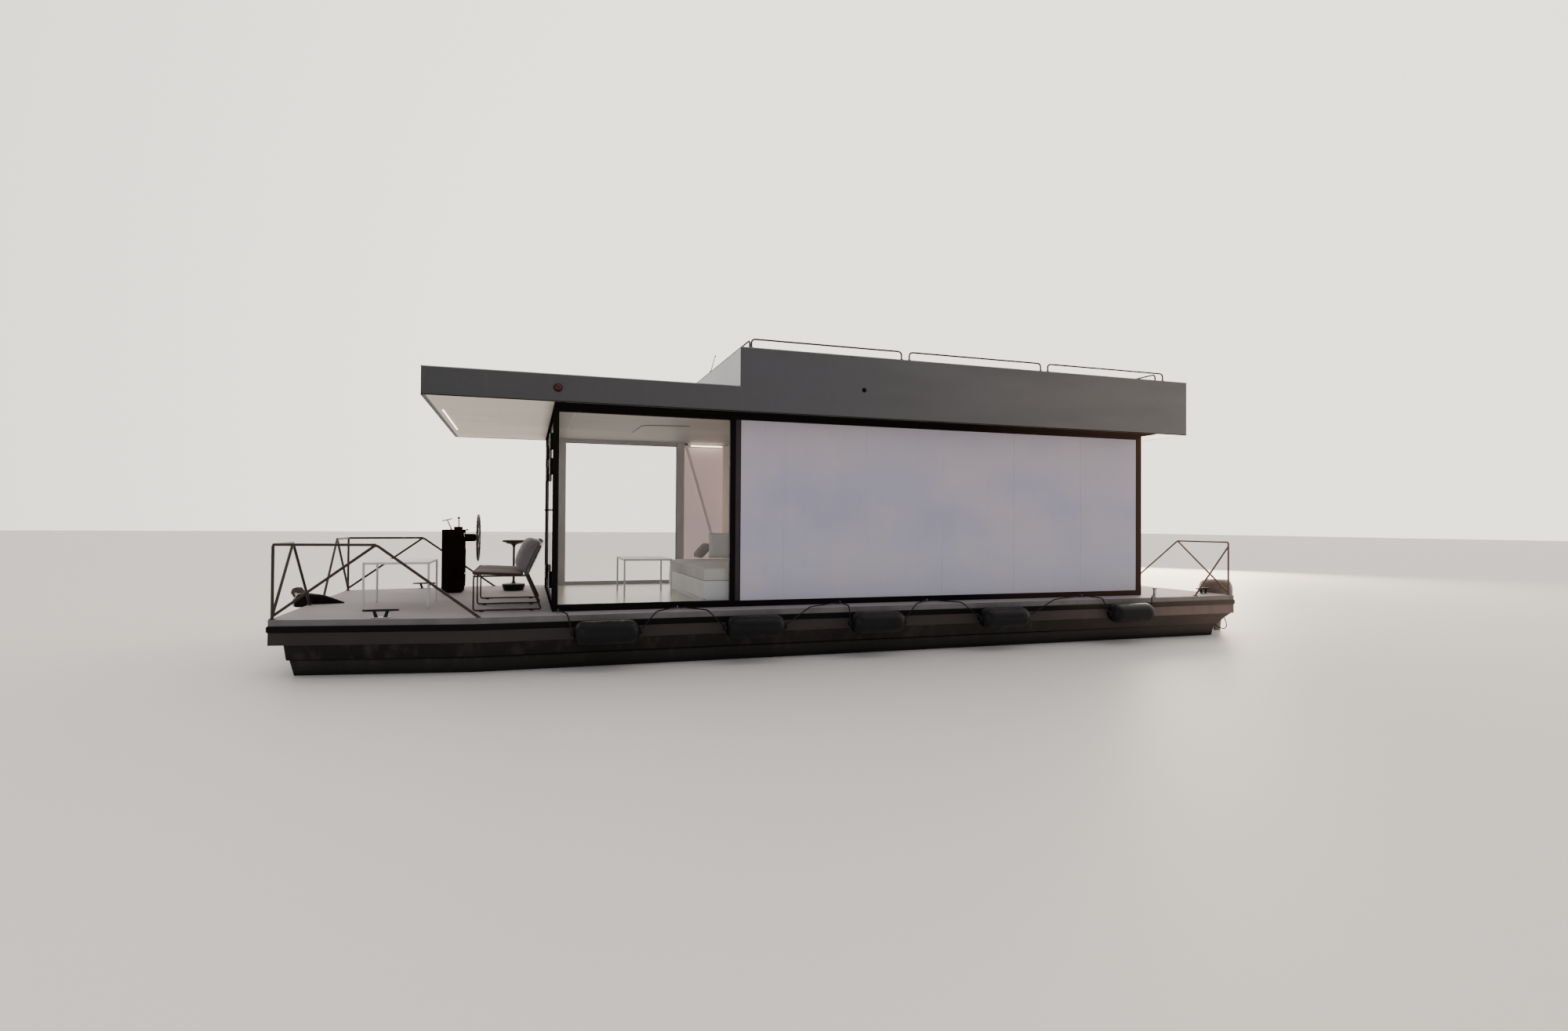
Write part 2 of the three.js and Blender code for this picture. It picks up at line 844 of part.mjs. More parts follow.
function hingeBlocks(sign, low, high) {
  return hingeHeights.map((z) =>
    block(hingeBlock.x, side(sign, [low, high]), [z - hingeBlock.height / 2, z + hingeBlock.height / 2]),
  );
}

function foldKnuckles(sign, spans) {
  return hingeHeights.flatMap((z) =>
    spans.map(([low, high]) => hingeBarrel(foldPivotX, sign * pairMiddle, z + low, z + high)),
  );
}

// Small ears on each block's fore face carry its knuckles out to the fold's axis.
function foldEars(sign, towards, spans) {
  const near = pairMiddle + (towards * knuckleClear) + towards * 4;
  const y = side(sign, [Math.min(near, pairMiddle), Math.max(near, pairMiddle)]);
  return hingeHeights.flatMap((z) =>
    spans.map(([low, high]) => block([hingeBlock.x[0] - 6, hingeBlock.x[0]], y, [z + low, z + high])),
  );
}

function hungLeaf(sign) {
  const spans = [[-30, 30]];
  const patchY = side(sign, [rootEdge - 62, rootEdge]);
  const pivotY = sign * (rootEdge - rootPivot.inset);
  return join(
    leafPane(sign, pairMiddle + knuckleClear, rootEdge),
    ...hingeBlocks(sign, pairMiddle + knuckleClear, pairMiddle + knuckleClear + hingeBlock.length),
    ...foldKnuckles(sign, spans),
    ...foldEars(sign, 1, spans),
    block([16, 54], patchY, [leafFoot - 3, leafFoot + 90]),
    block([16, 54], patchY, [leafHead - 90, leafHead + 3]),
    rod([rootPivot.x, pivotY, leafFoot - 10 + touch], [rootPivot.x, pivotY, leafFoot], 8, 12),
    rod([rootPivot.x, pivotY, leafHead], [rootPivot.x, pivotY, leafHead + 10 - touch], 8, 12),
  );
}

function ledLeaf(sign) {
  const spans = [
    [-90, -30 - touch],
    [30 + touch, 90],
  ];
  const handleY = sign * (meetClear + 62);
  return join(
    leafPane(sign, meetClear, pairMiddle - knuckleClear),
    ...hingeBlocks(sign, pairMiddle - knuckleClear - hingeBlock.length, pairMiddle - knuckleClear),
    ...foldKnuckles(sign, spans),
    ...foldEars(sign, -1, spans),
    rod([-38, handleY, 1110], [98, handleY, 1110], 10, 8),
    rod([-38, handleY - 35, 1110], [-38, handleY + 35, 1110], 10, 8),
    rod([98, handleY - 35, 1110], [98, handleY + 35, 1110], 10, 8),
  );
}

for (const [name, sign] of [
  ["port", -1],
  ["starboard", 1],
]) {
  piece("front_leaf_hung_" + name, hungLeaf(sign), "glass");
  piece("front_leaf_led_" + name, ledLeaf(sign), "glass");
}

// Roof: body with its step and sunken terrace, white ceiling, rails, lamps, antenna and ladder

function roofBody() {
  const outlineSide = [
    [roofFore, soffitHeight],
    [roofAft, soffitHeight],
    [roofAft, terraceTop],
    [stepX, terraceTop],
    [stepX, canopyTop],
    [roofFore, canopyTop],
  ];
  const well = block(
    [stepX + parapet, terraceAft],
    [-roofHalf + parapet, roofHalf - parapet],
    [terraceFloor, terraceTop + 10],
  );
  const recess = block(
    [roofFore + ceilingInset - touch, roofAft - ceilingInset + touch],
    [-roofHalf + ceilingInset - touch, roofHalf - ceilingInset + touch],
    [soffitHeight - 10, soffitHeight + ceilingThick + touch],
  );
  return cut(profile(outlineSide, [-roofHalf, roofHalf]), well, recess);
}

function ceiling() {
  return block(
    [roofFore + ceilingInset, roofAft - ceilingInset],
    [-roofHalf + ceilingInset, roofHalf - ceilingInset],
    [soffitHeight, soffitHeight + ceilingThick],
  );
}

// Low hoops on a base strip: three along the side, one across the fore end and one across the aft end.
function roofRail() {
  const y = 30 - roofHalf;
  const inner = -60;
  const ends = [2107, 7850];
  const base = terraceTop;
  const foot = base + 2;
  const top = terraceTop + roofRailHeight;
  const hoops = [
    [[2107, y], [3974, y]],
    [[4078, y], [5947, y]],
    [[6055, y], [7910, y]],
    ...ends.map((x) => [[x, -1900], [x, -120]]),
  ].map(([from, to]) =>
    pipe([[...from, foot], [...from, top], [...to, top], [...to, foot]], roofRailTube, 50),
  );
  const strips = [
    [[ends[0] - 15, 7925], [y - 15, y + 15]],
    ...ends.map((x) => [[x - 15, x + 15], [y, inner]]),
  ].map(([x, across]) => block(x, across, [base, base + 5]));
  return join(...strips, ...hoops);
}

function antenna() {
  const x = stepX + 20;
  const y = -420;
  const tip = [x + 60, y, terraceTop + 220];
  return join(
    rod([x, y, terraceTop], [x, y, terraceTop + 12], 18, 12),
    rod([x, y, terraceTop + 6], tip, 6),
    ball(tip, 11),
  );
}

function roofLadder() {
  const x = roofAft + 45;
  const landing = x - 190;
  const top = terraceTop + 160;
  const stiles = [820, 1180];
  const uprights = stiles.flatMap((y) => [
    pipe([[x, y, 0], [x, y, top], [landing, y, top], [landing, y, terraceTop]], 15, 60),
    foot(x, y),
    block([landing - 30, landing + 30], [y - 30, y + 30], [terraceTop, terraceTop + 8]),
    block([roofAft, x], [y - 8, y + 8], [2400, 2430]),
  ]);
  const rungs = [];
  for (let z = 270; z < terraceTop; z += 265) {
    rungs.push(rod([x, stiles[0], z], [x, stiles[1], z], 12, 6));
  }
  return join(...uprights, ...rungs);
}

piece("roof_body", roofBody(), "roof");
piece("ceiling", ceiling(), "white");
piece("roof_rail_port", roofRail(), "steel");
piece("roof_rail_starboard", roofRail(), "steel").scale.y = -1;
piece("roof_antenna", antenna(), "steel");
piece("roof_ladder", roofLadder(), "steel");
for (const [name, sign, finish] of [
  ["port", -1, "red"],
  ["starboard", 1, "green"],
]) {
  const y = side(sign, [roofHalf, roofHalf + 45]);
  piece("nav_light_" + name, block([-15, 75], y, [2295, 2385]), finish);
}

// Drives: one outboard motor behind each float, steered by the wheel, with a turning propeller
const lugs = [
  [-350, -320],
  [-545, -515],
];
const shaftRadius = 26;
const gearZ = gearHeight - deckTop;

function driveBracket(sign) {
  const y = sign * driveY;
  const arms = lugs.flatMap((z) => [
    block([deckAft + 40, steerX], [y - 36, y + 36], z),
    rod([steerX, y, z[0]], [steerX, y, z[1]], 38, 16),
  ]);
  const upright = block([deckAft, deckAft + 50], [y - 110, y + 110], [-560, -rubTop - rubHeight - 5]);
  const bore = rod([steerX, y, lugs[1][0] - 10], [steerX, y, lugs[0][1] + 10], shaftRadius + 1, 16);
  return cut(join(upright, ...arms), bore);
}

function driveMotor(sign) {
  const y = sign * driveY;
  const cowlHalfOutline = [
    [0, -290],
    [0.5, -290],
    [0.6, -260],
    [0.62, -130],
    [0.97, -105],
    [1, -60],
    [1, 60],
    [0.86, 150],
    [0.5, 190],
    [0, 200],
  ].map(([r, z]) => new THREE.Vector2(r, z));
  const cowl = new THREE.LatheGeometry(cowlHalfOutline, 16)
    .rotateX(Math.PI / 2)
    .scale(cowlHalf[0], cowlHalf[1], 1)
    .translate(cowlX, y, deckTop);
  const leg = [
    [9300, -280],
    [9450, -280],
    [9430, -560],
    [9300, -560],
  ];
  const strut = [
    [9225, -555],
    [9450, -555],
    [9440, gearZ],
    [9300, gearZ],
    [9285, -600],
    [9225, -590],
  ];
  const skeg = [
    [9310, gearZ],
    [9445, gearZ],
    [9430, -930],
    [9375, -930],
  ];
  const across = (half) => side(sign, [driveY - half, driveY + half]);
  return join(
    cowl,
    profile(leg, across(42)),
    profile(strut, across(20)),
    block([9225, 9490], across(90), [-590, -576]),
    rod([9240, y, gearZ], [gearAft, y, gearZ], 48, 12),
    profile(skeg, across(7)),
    rod([steerX, y, -590], [steerX, y, -260], shaftRadius, 16),
  );
}

function propeller(sign) {
  const middle = gearAft + touch + hubLength / 2;
  const place = (geometry) => geometry.translate(middle, sign * driveY, gearHeight);
  const hub = new THREE.CylinderGeometry(26, 32, hubLength, 12).rotateZ(-Math.PI / 2);
  const root = 16;
  const blades = [0, 1, 2].map((k) =>
    new THREE.BoxGeometry(8, 78, propRadius - root)
      .rotateZ(sign * 0.6)
      .translate(0, 0, (propRadius + root) / 2)
      .rotateX((k * 2 * Math.PI) / 3),
  );
  return join(place(hub), ...blades.map(place));
}

for (const [name, sign] of [
  ["port", -1],
  ["starboard", 1],
]) {
  piece("drive_bracket_" + name, driveBracket(sign), "steel");
  piece("drive_motor_" + name, driveMotor(sign), "motor");
  piece("propeller_" + name, propeller(sign), "steel");
}

const houseboat = new THREE.Group();
houseboat.add(boat);

export default houseboat;
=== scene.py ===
import json
import math
import random

import bmesh
import bpy
from mathutils import Matrix, Vector


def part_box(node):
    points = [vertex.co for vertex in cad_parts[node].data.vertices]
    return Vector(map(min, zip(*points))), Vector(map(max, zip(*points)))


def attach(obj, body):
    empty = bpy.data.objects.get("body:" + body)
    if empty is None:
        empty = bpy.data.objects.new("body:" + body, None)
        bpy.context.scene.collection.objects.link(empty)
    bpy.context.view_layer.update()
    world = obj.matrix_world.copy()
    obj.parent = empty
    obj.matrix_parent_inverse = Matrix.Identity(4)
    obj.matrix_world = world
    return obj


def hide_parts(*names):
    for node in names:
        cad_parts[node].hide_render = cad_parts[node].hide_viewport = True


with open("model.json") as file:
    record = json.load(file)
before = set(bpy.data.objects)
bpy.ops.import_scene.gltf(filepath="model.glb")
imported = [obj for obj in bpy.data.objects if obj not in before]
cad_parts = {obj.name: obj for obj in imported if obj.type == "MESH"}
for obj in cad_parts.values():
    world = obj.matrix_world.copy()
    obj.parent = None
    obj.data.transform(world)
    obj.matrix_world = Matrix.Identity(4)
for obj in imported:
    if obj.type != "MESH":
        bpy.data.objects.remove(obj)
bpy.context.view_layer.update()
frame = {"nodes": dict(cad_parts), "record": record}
nodes = frame["nodes"]

# Camera: it floats low off the port side, a little ahead of the cabin's fore wall, and looks aft of square.
# Places on the boat are counted in metres from that wall, from the centreline and from the deck's top.
fore_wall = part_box("front_frame")[0].x
deck_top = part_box("cabin_floor")[0].z


def at(x, y, z):
    return Vector((fore_wall + x, y, deck_top + z))


view_yaw = math.radians(18.476)
view_pitch = math.radians(0.63)
view_roll = math.radians(0.37)
forward = Vector((math.sin(view_yaw), math.cos(view_yaw), math.tan(view_pitch))).normalized()
level = Vector((math.cos(view_yaw), -math.sin(view_yaw), 0))
upright = level.cross(forward)
right = level * math.cos(view_roll) + upright * math.sin(view_roll)
up = right.cross(forward)
camera = bpy.data.objects.new("camera", bpy.data.cameras.new("camera"))
camera.data.lens = 17.77
camera.data.sensor_width = 36.0
camera.data.clip_end = 500
turn = Matrix((right, up, -forward)).transposed().to_4x4()
camera.matrix_world = Matrix.Translation(at(-0.277, -10.2935, 0.95)) @ turn
bpy.context.scene.collection.objects.link(camera)
bpy.context.scene.camera = camera


# Studio: a wide pale floor lies at the waterline, where the water would be. The sky is bright behind the boat
# and dim on the camera's side, and a broad low lamp from behind stands in for a late sun.
def node(tree, kind, inputs=None, **settings):
    made = tree.nodes.new("ShaderNode" + kind)
    for key, value in settings.items():
        setattr(made, key, value)
    for key, value in (inputs or {}).items():
        if isinstance(value, bpy.types.NodeSocket):
            tree.links.new(value, made.inputs[key])
        else:
            made.inputs[key].default_value = value
    return made


def mixed(tree, factor, first, second):
    made = node(tree, "Mix", data_type="RGBA")
    for socket, value in ((made.inputs[0], factor), (made.inputs[6], first), (made.inputs[7], second)):
        if isinstance(value, bpy.types.NodeSocket):
            tree.links.new(value, socket)
        elif isinstance(value, tuple):
            socket.default_value = (*value, 1)
        else:
            socket.default_value = value
    return made.outputs[2]


def ramp(tree, value, low, high, first=0.0, last=1.0):
    inputs = {"Value": value, "From Min": low, "From Max": high, "To Min": first, "To Max": last}
    return node(tree, "MapRange", inputs).outputs["Result"]


def new_finish(name, colour, roughness, metallic=0.0, shine=0.3):
    finish = bpy.data.materials.new(name)
    finish.use_nodes = True
    tree = finish.node_tree
    shader = tree.nodes["Principled BSDF"]
    shader.inputs["Base Color"].default_value = (*colour, 1)
    shader.inputs["Roughness"].default_value = roughness
    shader.inputs["Metallic"].default_value = metallic
    shader.inputs["Specular IOR Level"].default_value = shine
    return finish, tree, shader


def show(bm, name, finish, body="hull", stands_for=(), smooth=35, rounding=0.0):
    bmesh.ops.recalc_face_normals(bm, faces=bm.faces)
    mesh = bpy.data.meshes.new(name)
    bm.to_mesh(mesh)
    bm.free()
    mesh.materials.append(finish)
    mesh.shade_smooth()
    mesh.set_sharp_from_angle(angle=math.radians(smooth))
    made = bpy.data.objects.new(name, mesh)
    bpy.context.scene.collection.objects.link(made)
    if rounding:
        bevel = made.modifiers.new("rounding", "BEVEL")
        bevel.width = rounding
        bevel.segments = 2
        bevel.limit_method = "ANGLE"
        bevel.angle_limit = math.radians(40)
        bevel.harden_normals = True
    if body:
        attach(made, body)
    if stands_for:
        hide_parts(*stands_for)
    return made


waterline = deck_top - 0.56
bm = bmesh.new()
bmesh.ops.create_grid(bm, x_segments=1, y_segments=1, size=120, matrix=Matrix.Translation((0, 0, waterline)))
floor_finish, tree, shader = new_finish("studio_floor", (0.78, 0.76, 0.74), 0.55, shine=0.2)
studio_floor = show(bm, "studio_floor", floor_finish, None)
world = bpy.data.worlds.new("studio_sky")
world.use_nodes = True
tree = world.node_tree
direction = node(tree, "TexCoord").outputs["Generated"]
bright_side = {0: direction, 1: (0.5, 0.85, 0.1)}
facing = node(tree, "VectorMath", bright_side, operation="DOT_PRODUCT").outputs["Value"]
sky = mixed(tree, ramp(tree, facing, -0.3, 0.8), (0.36, 0.37, 0.4), (2.6, 2.4, 2.15))
tree.links.new(sky, tree.nodes["Background"].inputs["Color"])
bpy.context.scene.world = world
for name, place, size, power, colour in (
    ("lamp_camera_side", (-9, -13, 7), 9, 200, (0.95, 0.96, 1.0)),
    ("lamp_low_sun", (18, 12, 5), 6, 3200, (1.0, 0.82, 0.62)),
):
    lamp = bpy.data.objects.new(name, bpy.data.lights.new(name, "AREA"))
    lamp.data.size = size
    lamp.data.energy = power
    lamp.data.color = colour
    lamp.location = place
    lamp.rotation_euler = (Vector((0, 0, 2)) - Vector(place)).to_track_quat("-Z", "Y").to_euler()
    bpy.context.scene.collection.objects.link(lamp)


# Floats: two flat-bottomed hulls of welded plate, painted dark. The paint is streaked by rain from the ledge
# down, and darker and glossier where it is wet near the water.
def object_place(tree, stretch=(1, 1, 1)):
    place = node(tree, "TexCoord").outputs["Object"]
    return node(tree, "Mapping", {"Vector": place, "Scale": stretch}).outputs["Vector"]


def noise(tree, scale, stretch=(1, 1, 1), detail=4.0):
    inputs = {"Vector": object_place(tree, stretch), "Scale": scale, "Detail": detail}
    return node(tree, "TexNoise", inputs).outputs["Fac"]


def along(tree, axis):
    place = node(tree, "TexCoord").outputs["Object"]
    return node(tree, "SeparateXYZ", {"Vector": place}).outputs[axis]


def towards_stern(tree, start, end, *amounts):
    return ramp(tree, along(tree, "X"), fore_wall + start, fore_wall + end, *amounts)


def bumped(tree, shader, height, strength, distance=0.002):
    bump = node(tree, "Bump", {"Height": height, "Strength": strength, "Distance": distance})
    tree.links.new(bump.outputs["Normal"], shader.inputs["Normal"])


def coloured(tree, shader, colour):
    tree.links.new(colour, shader.inputs["Base Color"])


def weathered(name, colour, worn, roughness, metallic=0.0, patch=2.5, grain=180, bump=0.2, shine=0.3):
    finish, tree, shader = new_finish(name, colour, roughness, metallic, shine)
    coloured(tree, shader, mixed(tree, ramp(tree, noise(tree, patch), 0.35, 0.7), colour, worn))
    rubbed = ramp(tree, noise(tree, patch * 6), 0.3, 0.7, roughness - 0.08, roughness + 0.1)
    tree.links.new(rubbed, shader.inputs["Roughness"])
    bumped(tree, shader, noise(tree, grain), bump, 0.0006)
    return finish


hull_paint, tree, shader = new_finish("hull_paint", (0.03, 0.026, 0.026), 0.5, shine=0.12)
# Painted sunlight: the float is painted lighter and warmer towards the stern, where the low sun falls.
run = towards_stern(tree, -2.2, 9.0)
body = mixed(tree, run, (0.011, 0.0095, 0.0095), (0.05, 0.042, 0.036))
painted_sunlight = towards_stern(tree, 6.0, 9.0)
body = mixed(tree, painted_sunlight, body, (0.15, 0.105, 0.085))
patches = ramp(tree, noise(tree, 1.6, (0.5, 1, 2)), 0.35, 0.65, 0, 0.4)
body = mixed(tree, patches, body, (0.02, 0.017, 0.016))
streaks = ramp(tree, noise(tree, 9, (1, 1, 0.06), 6), 0.5, 0.72)
streaked = mixed(tree, ramp(tree, streaks, 0, 1, 0, 0.35), body, (0.08, 0.068, 0.06))
wet = ramp(tree, along(tree, "Z"), waterline + 0.02, waterline + 0.16, 1, 0)
# Painted light: below the ledge the inclined plate is painted a little lighter.
painted_light_below_ledge = ramp(tree, along(tree, "Z"), deck_top - 0.43, deck_top - 0.4, 0.25, 0)
streaked = mixed(tree, painted_light_below_ledge, streaked, (0.07, 0.06, 0.055))
coloured(tree, shader, mixed(tree, wet, streaked, (0.012, 0.011, 0.01)))
tree.links.new(ramp(tree, wet, 0, 1, 0.5, 0.22), shader.inputs["Roughness"])
bumped(tree, shader, noise(tree, 4, (0.3, 1, 1)), 0.25, 0.01)
for name in ("float_port", "float_starboard"):
    nodes[name].material_slots[0].material = hull_paint

# Deck: one smooth slab with a fine grit in its paint. Its edge is grey above the rubbing strake and darker
# below it, and is painted lighter and warmer towards the stern as painted sunlight.
def facing_share(tree, axis):
    normal = node(tree, "NewGeometry").outputs["Normal"]
    return node(tree, "SeparateXYZ", {"Vector": normal}).outputs[axis]


deck_board, tree, shader = new_finish("deck_board", (0.34, 0.32, 0.31), 0.7, shine=0.15)
upwards = facing_share(tree, "Z")
patches = ramp(tree, noise(tree, 1.1), 0.3, 0.7)
walked = mixed(tree, patches, (0.3, 0.272, 0.292), (0.26, 0.237, 0.257))
specks = ramp(tree, noise(tree, 420, detail=1), 0.66, 0.72)
walked = mixed(tree, ramp(tree, specks, 0, 1, 0, 0.6), walked, (0.36, 0.34, 0.35))
# Painted sunlight: the edge bands grow lighter and warmer towards the stern, where the low sun falls.
run = towards_stern(tree, -2.4, 8.6)
painted_sunlight = towards_stern(tree, 6.0, 9.0)
low_band = mixed(tree, run, (0.037, 0.032, 0.031), (0.07, 0.056, 0.05))
low_band = mixed(tree, painted_sunlight, low_band, (0.26, 0.19, 0.155))
top_band = mixed(tree, run, (0.165, 0.155, 0.16), (0.18, 0.165, 0.155))
top_band = mixed(tree, painted_sunlight, top_band, (0.27, 0.235, 0.21))
below = ramp(tree, along(tree, "Z"), deck_top - 0.1, deck_top - 0.085)
stains = ramp(tree, noise(tree, 7, (0.6, 1, 0.25), 5), 0.45, 0.75, 0, 0.35)
edge = mixed(tree, stains, mixed(tree, below, low_band, top_band), (0.05, 0.044, 0.042))
coloured(tree, shader, mixed(tree, ramp(tree, upwards, 0.4, 0.6), edge, walked))
bumped(tree, shader, noise(tree, 650, detail=2), 0.3, 0.0008)
nodes["deck_platform"].material_slots[0].material = deck_board

# Rubbing strake: a black rubber D-section bolted round the deck's edge, rounded at the corners, with a screw
# cover strip along its middle.
rub_rubber = weathered("rub_rubber", (0.006, 0.0055, 0.0055), (0.012, 0.011, 0.01), 0.55, patch=3, grain=90,
                       shine=0.05)
strake_middle = 0.092


def deck_edge(out, z):
    half = [at(-2.6, 1.72, z), at(-0.75, 2.055, z), at(9.08, 2.055, z)]
    corners = half + [Vector((p.x, -p.y, p.z)) for p in reversed(half)]
    loop = []
    for i, corner in enumerate(corners):
        before = (corner - corners[i - 1]).normalized()
        after = (corners[(i + 1) % len(corners)] - corner).normalized()
        first = Vector((-before.y, before.x, 0))
        last = Vector((-after.y, after.x, 0))
        for k in range(5):
            loop.append(corner + first.slerp(last, k / 4) * out)
    return loop


def outline(bm, points, closed=True):
    corners = [bm.verts.new(p) for p in points]
    pairs = list(zip(corners, corners[1:]))
    if closed:
        pairs.append((corners[-1], corners[0]))
    return [bm.edges.new(pair) for pair in pairs]


def skinned(bm, outlines, ends="filled"):
    following = outlines[1:] + (outlines[:1] if ends == "joined" else [])
    for near, far in zip(outlines, following):
        bmesh.ops.bridge_loops(bm, edges=near + far)
    if ends == "filled":
        for last in (outlines[0], outlines[-1]):
            bmesh.ops.edgeloop_fill(bm, edges=last)


bm = bmesh.new()
section = [(0.0005, -0.031), (0.007, -0.031), (0.013, -0.024), (0.016, -0.011), (0.0145, -0.007)]
section += [(0.0145, 0.007), (0.016, 0.011), (0.013, 0.024), (0.007, 0.031), (0.0005, 0.031)]
skinned(bm, [outline(bm, deck_edge(out, z - strake_middle)) for out, z in section], ends="joined")
strake_rubber, tree, shader = new_finish("rub_rubber.strake", (0.006, 0.0055, 0.0055), 0.6, shine=0.05)
# Painted sunlight: the black rubber is painted warm and light towards the stern.
painted_sunlight = towards_stern(tree, 6.0, 9.1)
coloured(tree, shader, mixed(tree, painted_sunlight, (0.007, 0.0062, 0.0062), (0.11, 0.082, 0.068)))
bumped(tree, shader, noise(tree, 90), 0.15, 0.0006)
show(bm, "rubbing_strake_section", strake_rubber, stands_for=["rubbing_strake"], smooth=50)

# Rails at the bow and stern: bent tube, painted dark bronze, welded to round-cornered foot plates that are
# each held by four screws.
rail_paint, tree, shader = new_finish("rail_paint", (0.032, 0.022, 0.018), 0.4, 0.3)
# Painted sunlight: the rails are painted warmer and lighter towards the stern.
painted_sunlight = towards_stern(tree, 6.5, 9.0)
body = mixed(tree, ramp(tree, noise(tree, 6), 0.35, 0.7), (0.032, 0.022, 0.018), (0.05, 0.036, 0.028))
coloured(tree, shader, mixed(tree, painted_sunlight, body, (0.16, 0.09, 0.055)))
bumped(tree, shader, noise(tree, 300), 0.2, 0.0006)
bright_steel = weathered("bright_steel", (0.45, 0.44, 0.43), (0.35, 0.34, 0.33), 0.3, 0.9, 8, 400, 0.1)


def bent(points, bend, steps=5):
    way = [points[0]]
    for before, corner, after in zip(points, points[1:], points[2:]):
        start = corner + (before - corner).normalized() * bend
        end = corner + (after - corner).normalized() * bend
        for k in range(steps + 1):
            t = k / steps
            way.append(start * (1 - t) ** 2 + corner * 2 * t * (1 - t) + end * t * t)
    return way + [points[-1]]


def places_along(way):
    ahead = [(b - a).normalized() for a, b in zip(way, way[1:])]
    side = ahead[0].orthogonal().normalized()
    for i, point in enumerate(way):
        tangent = (ahead[max(i - 1, 0)] + ahead[min(i, len(ahead) - 1)]).normalized()
        side = (side - tangent * side.dot(tangent)).normalized()
        turn = Matrix((side.cross(tangent), side, tangent)).transposed().to_4x4()
        yield Matrix.Translation(point) @ turn


def hoop(bm, place, radius, sides):
    made = bmesh.ops.create_circle(bm, segments=sides, radius=radius, matrix=place)["verts"]
    return list(dict.fromkeys(edge for vertex in made for edge in vertex.link_edges))


def tube(bm, points, radius, bend=0.0, sides=12):
    way = bent(points, bend) if bend else points
    radii = radius if isinstance(radius, list) else [radius] * len(way)
    skinned(bm, [hoop(bm, place, r, sides) for place, r in zip(places_along(way), radii)])


def turned(bm, half, place, sides=24, wide=1.0):
    part = bmesh.new()
    outline(part, [(r, 0, z) for r, z in half], closed=False)
    bmesh.ops.spin(part, geom=part.verts[:] + part.edges[:], cent=(0, 0, 0), axis=(0, 0, 1),
                   angle=2 * math.pi, steps=sides, use_merge=True)
    bmesh.ops.remove_doubles(part, verts=part.verts, dist=0.000001)
    bmesh.ops.edgeloop_fill(part, edges=[edge for edge in part.edges if edge.is_boundary])
    part.transform(place @ Matrix.Diagonal((1, wide, 1, 1)))
    mesh = bpy.data.meshes.new("turned_part")
    part.to_mesh(mesh)
    part.free()
    bm.from_mesh(mesh)
    bpy.data.meshes.remove(mesh)


def slab(bm, low, high):
    size = high - low
    place = Matrix.Translation((low + high) / 2) @ Matrix.Diagonal((*size, 1))
    bmesh.ops.create_cube(bm, size=1, matrix=place)


def eased(points, steps=4):
    way = [Vector(p) for p in points]
    ends = [way[0]] + way + [way[-1]]
    made = []
    for a, b, c, d in zip(ends, ends[1:], ends[2:], ends[3:]):
        for k in range(steps):
            t = k / steps
            bow = b * 2 + (c - a) * t + (a * 2 - b * 5 + c * 4 - d) * t * t
            made.append((bow + (b * 3 - a - c * 3 + d) * t ** 3) / 2)
    return [tuple(p) for p in made + [way[-1]]]


def screw(bm, place, radius=0.006):
    head = [(radius, 0), (radius, 0.002), (radius * 0.6, 0.0035), (0, 0.004)]
    turned(bm, head, Matrix.Translation(place), 10)


def foot_plates(name, feet):
    plates = bmesh.new()
    screws = bmesh.new()
    for foot in feet:
        slab(plates, foot - Vector((0.025, 0.025, 0)), foot + Vector((0.025, 0.025, 0.008)))
        turned(plates, [(0.0195, 0.008), (0.019, 0.012), (0.016, 0.016)], Matrix.Translation(foot), 16)
        for x in (-0.019, 0.019):
            for y in (-0.019, 0.019):
                screw(screws, foot + Vector((x, y, 0.008)), 0.004)
    show(plates, name + "_feet", rail_paint, rounding=0.002)
    show(screws, name + "_screws", bright_steel)


bow_top = 0.72
stern_top = 0.735
bow_tube = 0.014
stern_tube = 0.012
for name, sign in (("port", -1), ("starboard", 1)):
    corner = (-2.575, 1.68 * sign)
    top_aft = (-1.66, 1.845 * sign)
    foot_aft = (-0.71, 2.01 * sign)
    apex = (-2.575, 1.0 * sign)
    inner = (-2.575, 0.3 * sign)
    bm = bmesh.new()
    tube(bm, [at(*top_aft, bow_top), at(*corner, bow_top), at(*apex, bow_top)], bow_tube, 0.025)
    tube(bm, [at(*corner, 0.004), at(*corner, bow_top - 0.01)], bow_tube)
    tube(bm, [at(*corner, 0.03), at(*top_aft, bow_top), at(*foot_aft, 0.004)], bow_tube, 0.03)
    tube(bm, [at(*inner, 0.004), at(*apex, bow_top), at(*corner, 0.03)], bow_tube, 0.03)
    show(bm, "bow_rail_tube_" + name, rail_paint, stands_for=["bow_rail_" + name])
    foot_plates("bow_rail_" + name, [at(*corner, 0), at(*foot_aft, 0), at(*inner, 0)])
    corner = (9.055, 1.99 * sign)
    apex = (9.055, 1.1 * sign)
    inner = (9.055, 0.1 * sign)
    fore = (8.46, 1.99 * sign)
    bm = bmesh.new()
    tube(bm, [at(*corner, 0.004), at(*corner, stern_top), at(*apex, stern_top)], stern_tube, 0.025)
    tube(bm, [at(*inner, 0.004), at(*apex, stern_top), at(*corner, 0.03)], stern_tube, 0.03)
    tube(bm, [at(*corner, stern_top - 0.06), at(*fore, 0.004)], stern_tube)
    show(bm, "stern_rail_tube_" + name, rail_paint, stands_for=["stern_rail_" + name])
    foot_plates("stern_rail_" + name, [at(*corner, 0), at(*fore, 0), at(*inner, 0)])

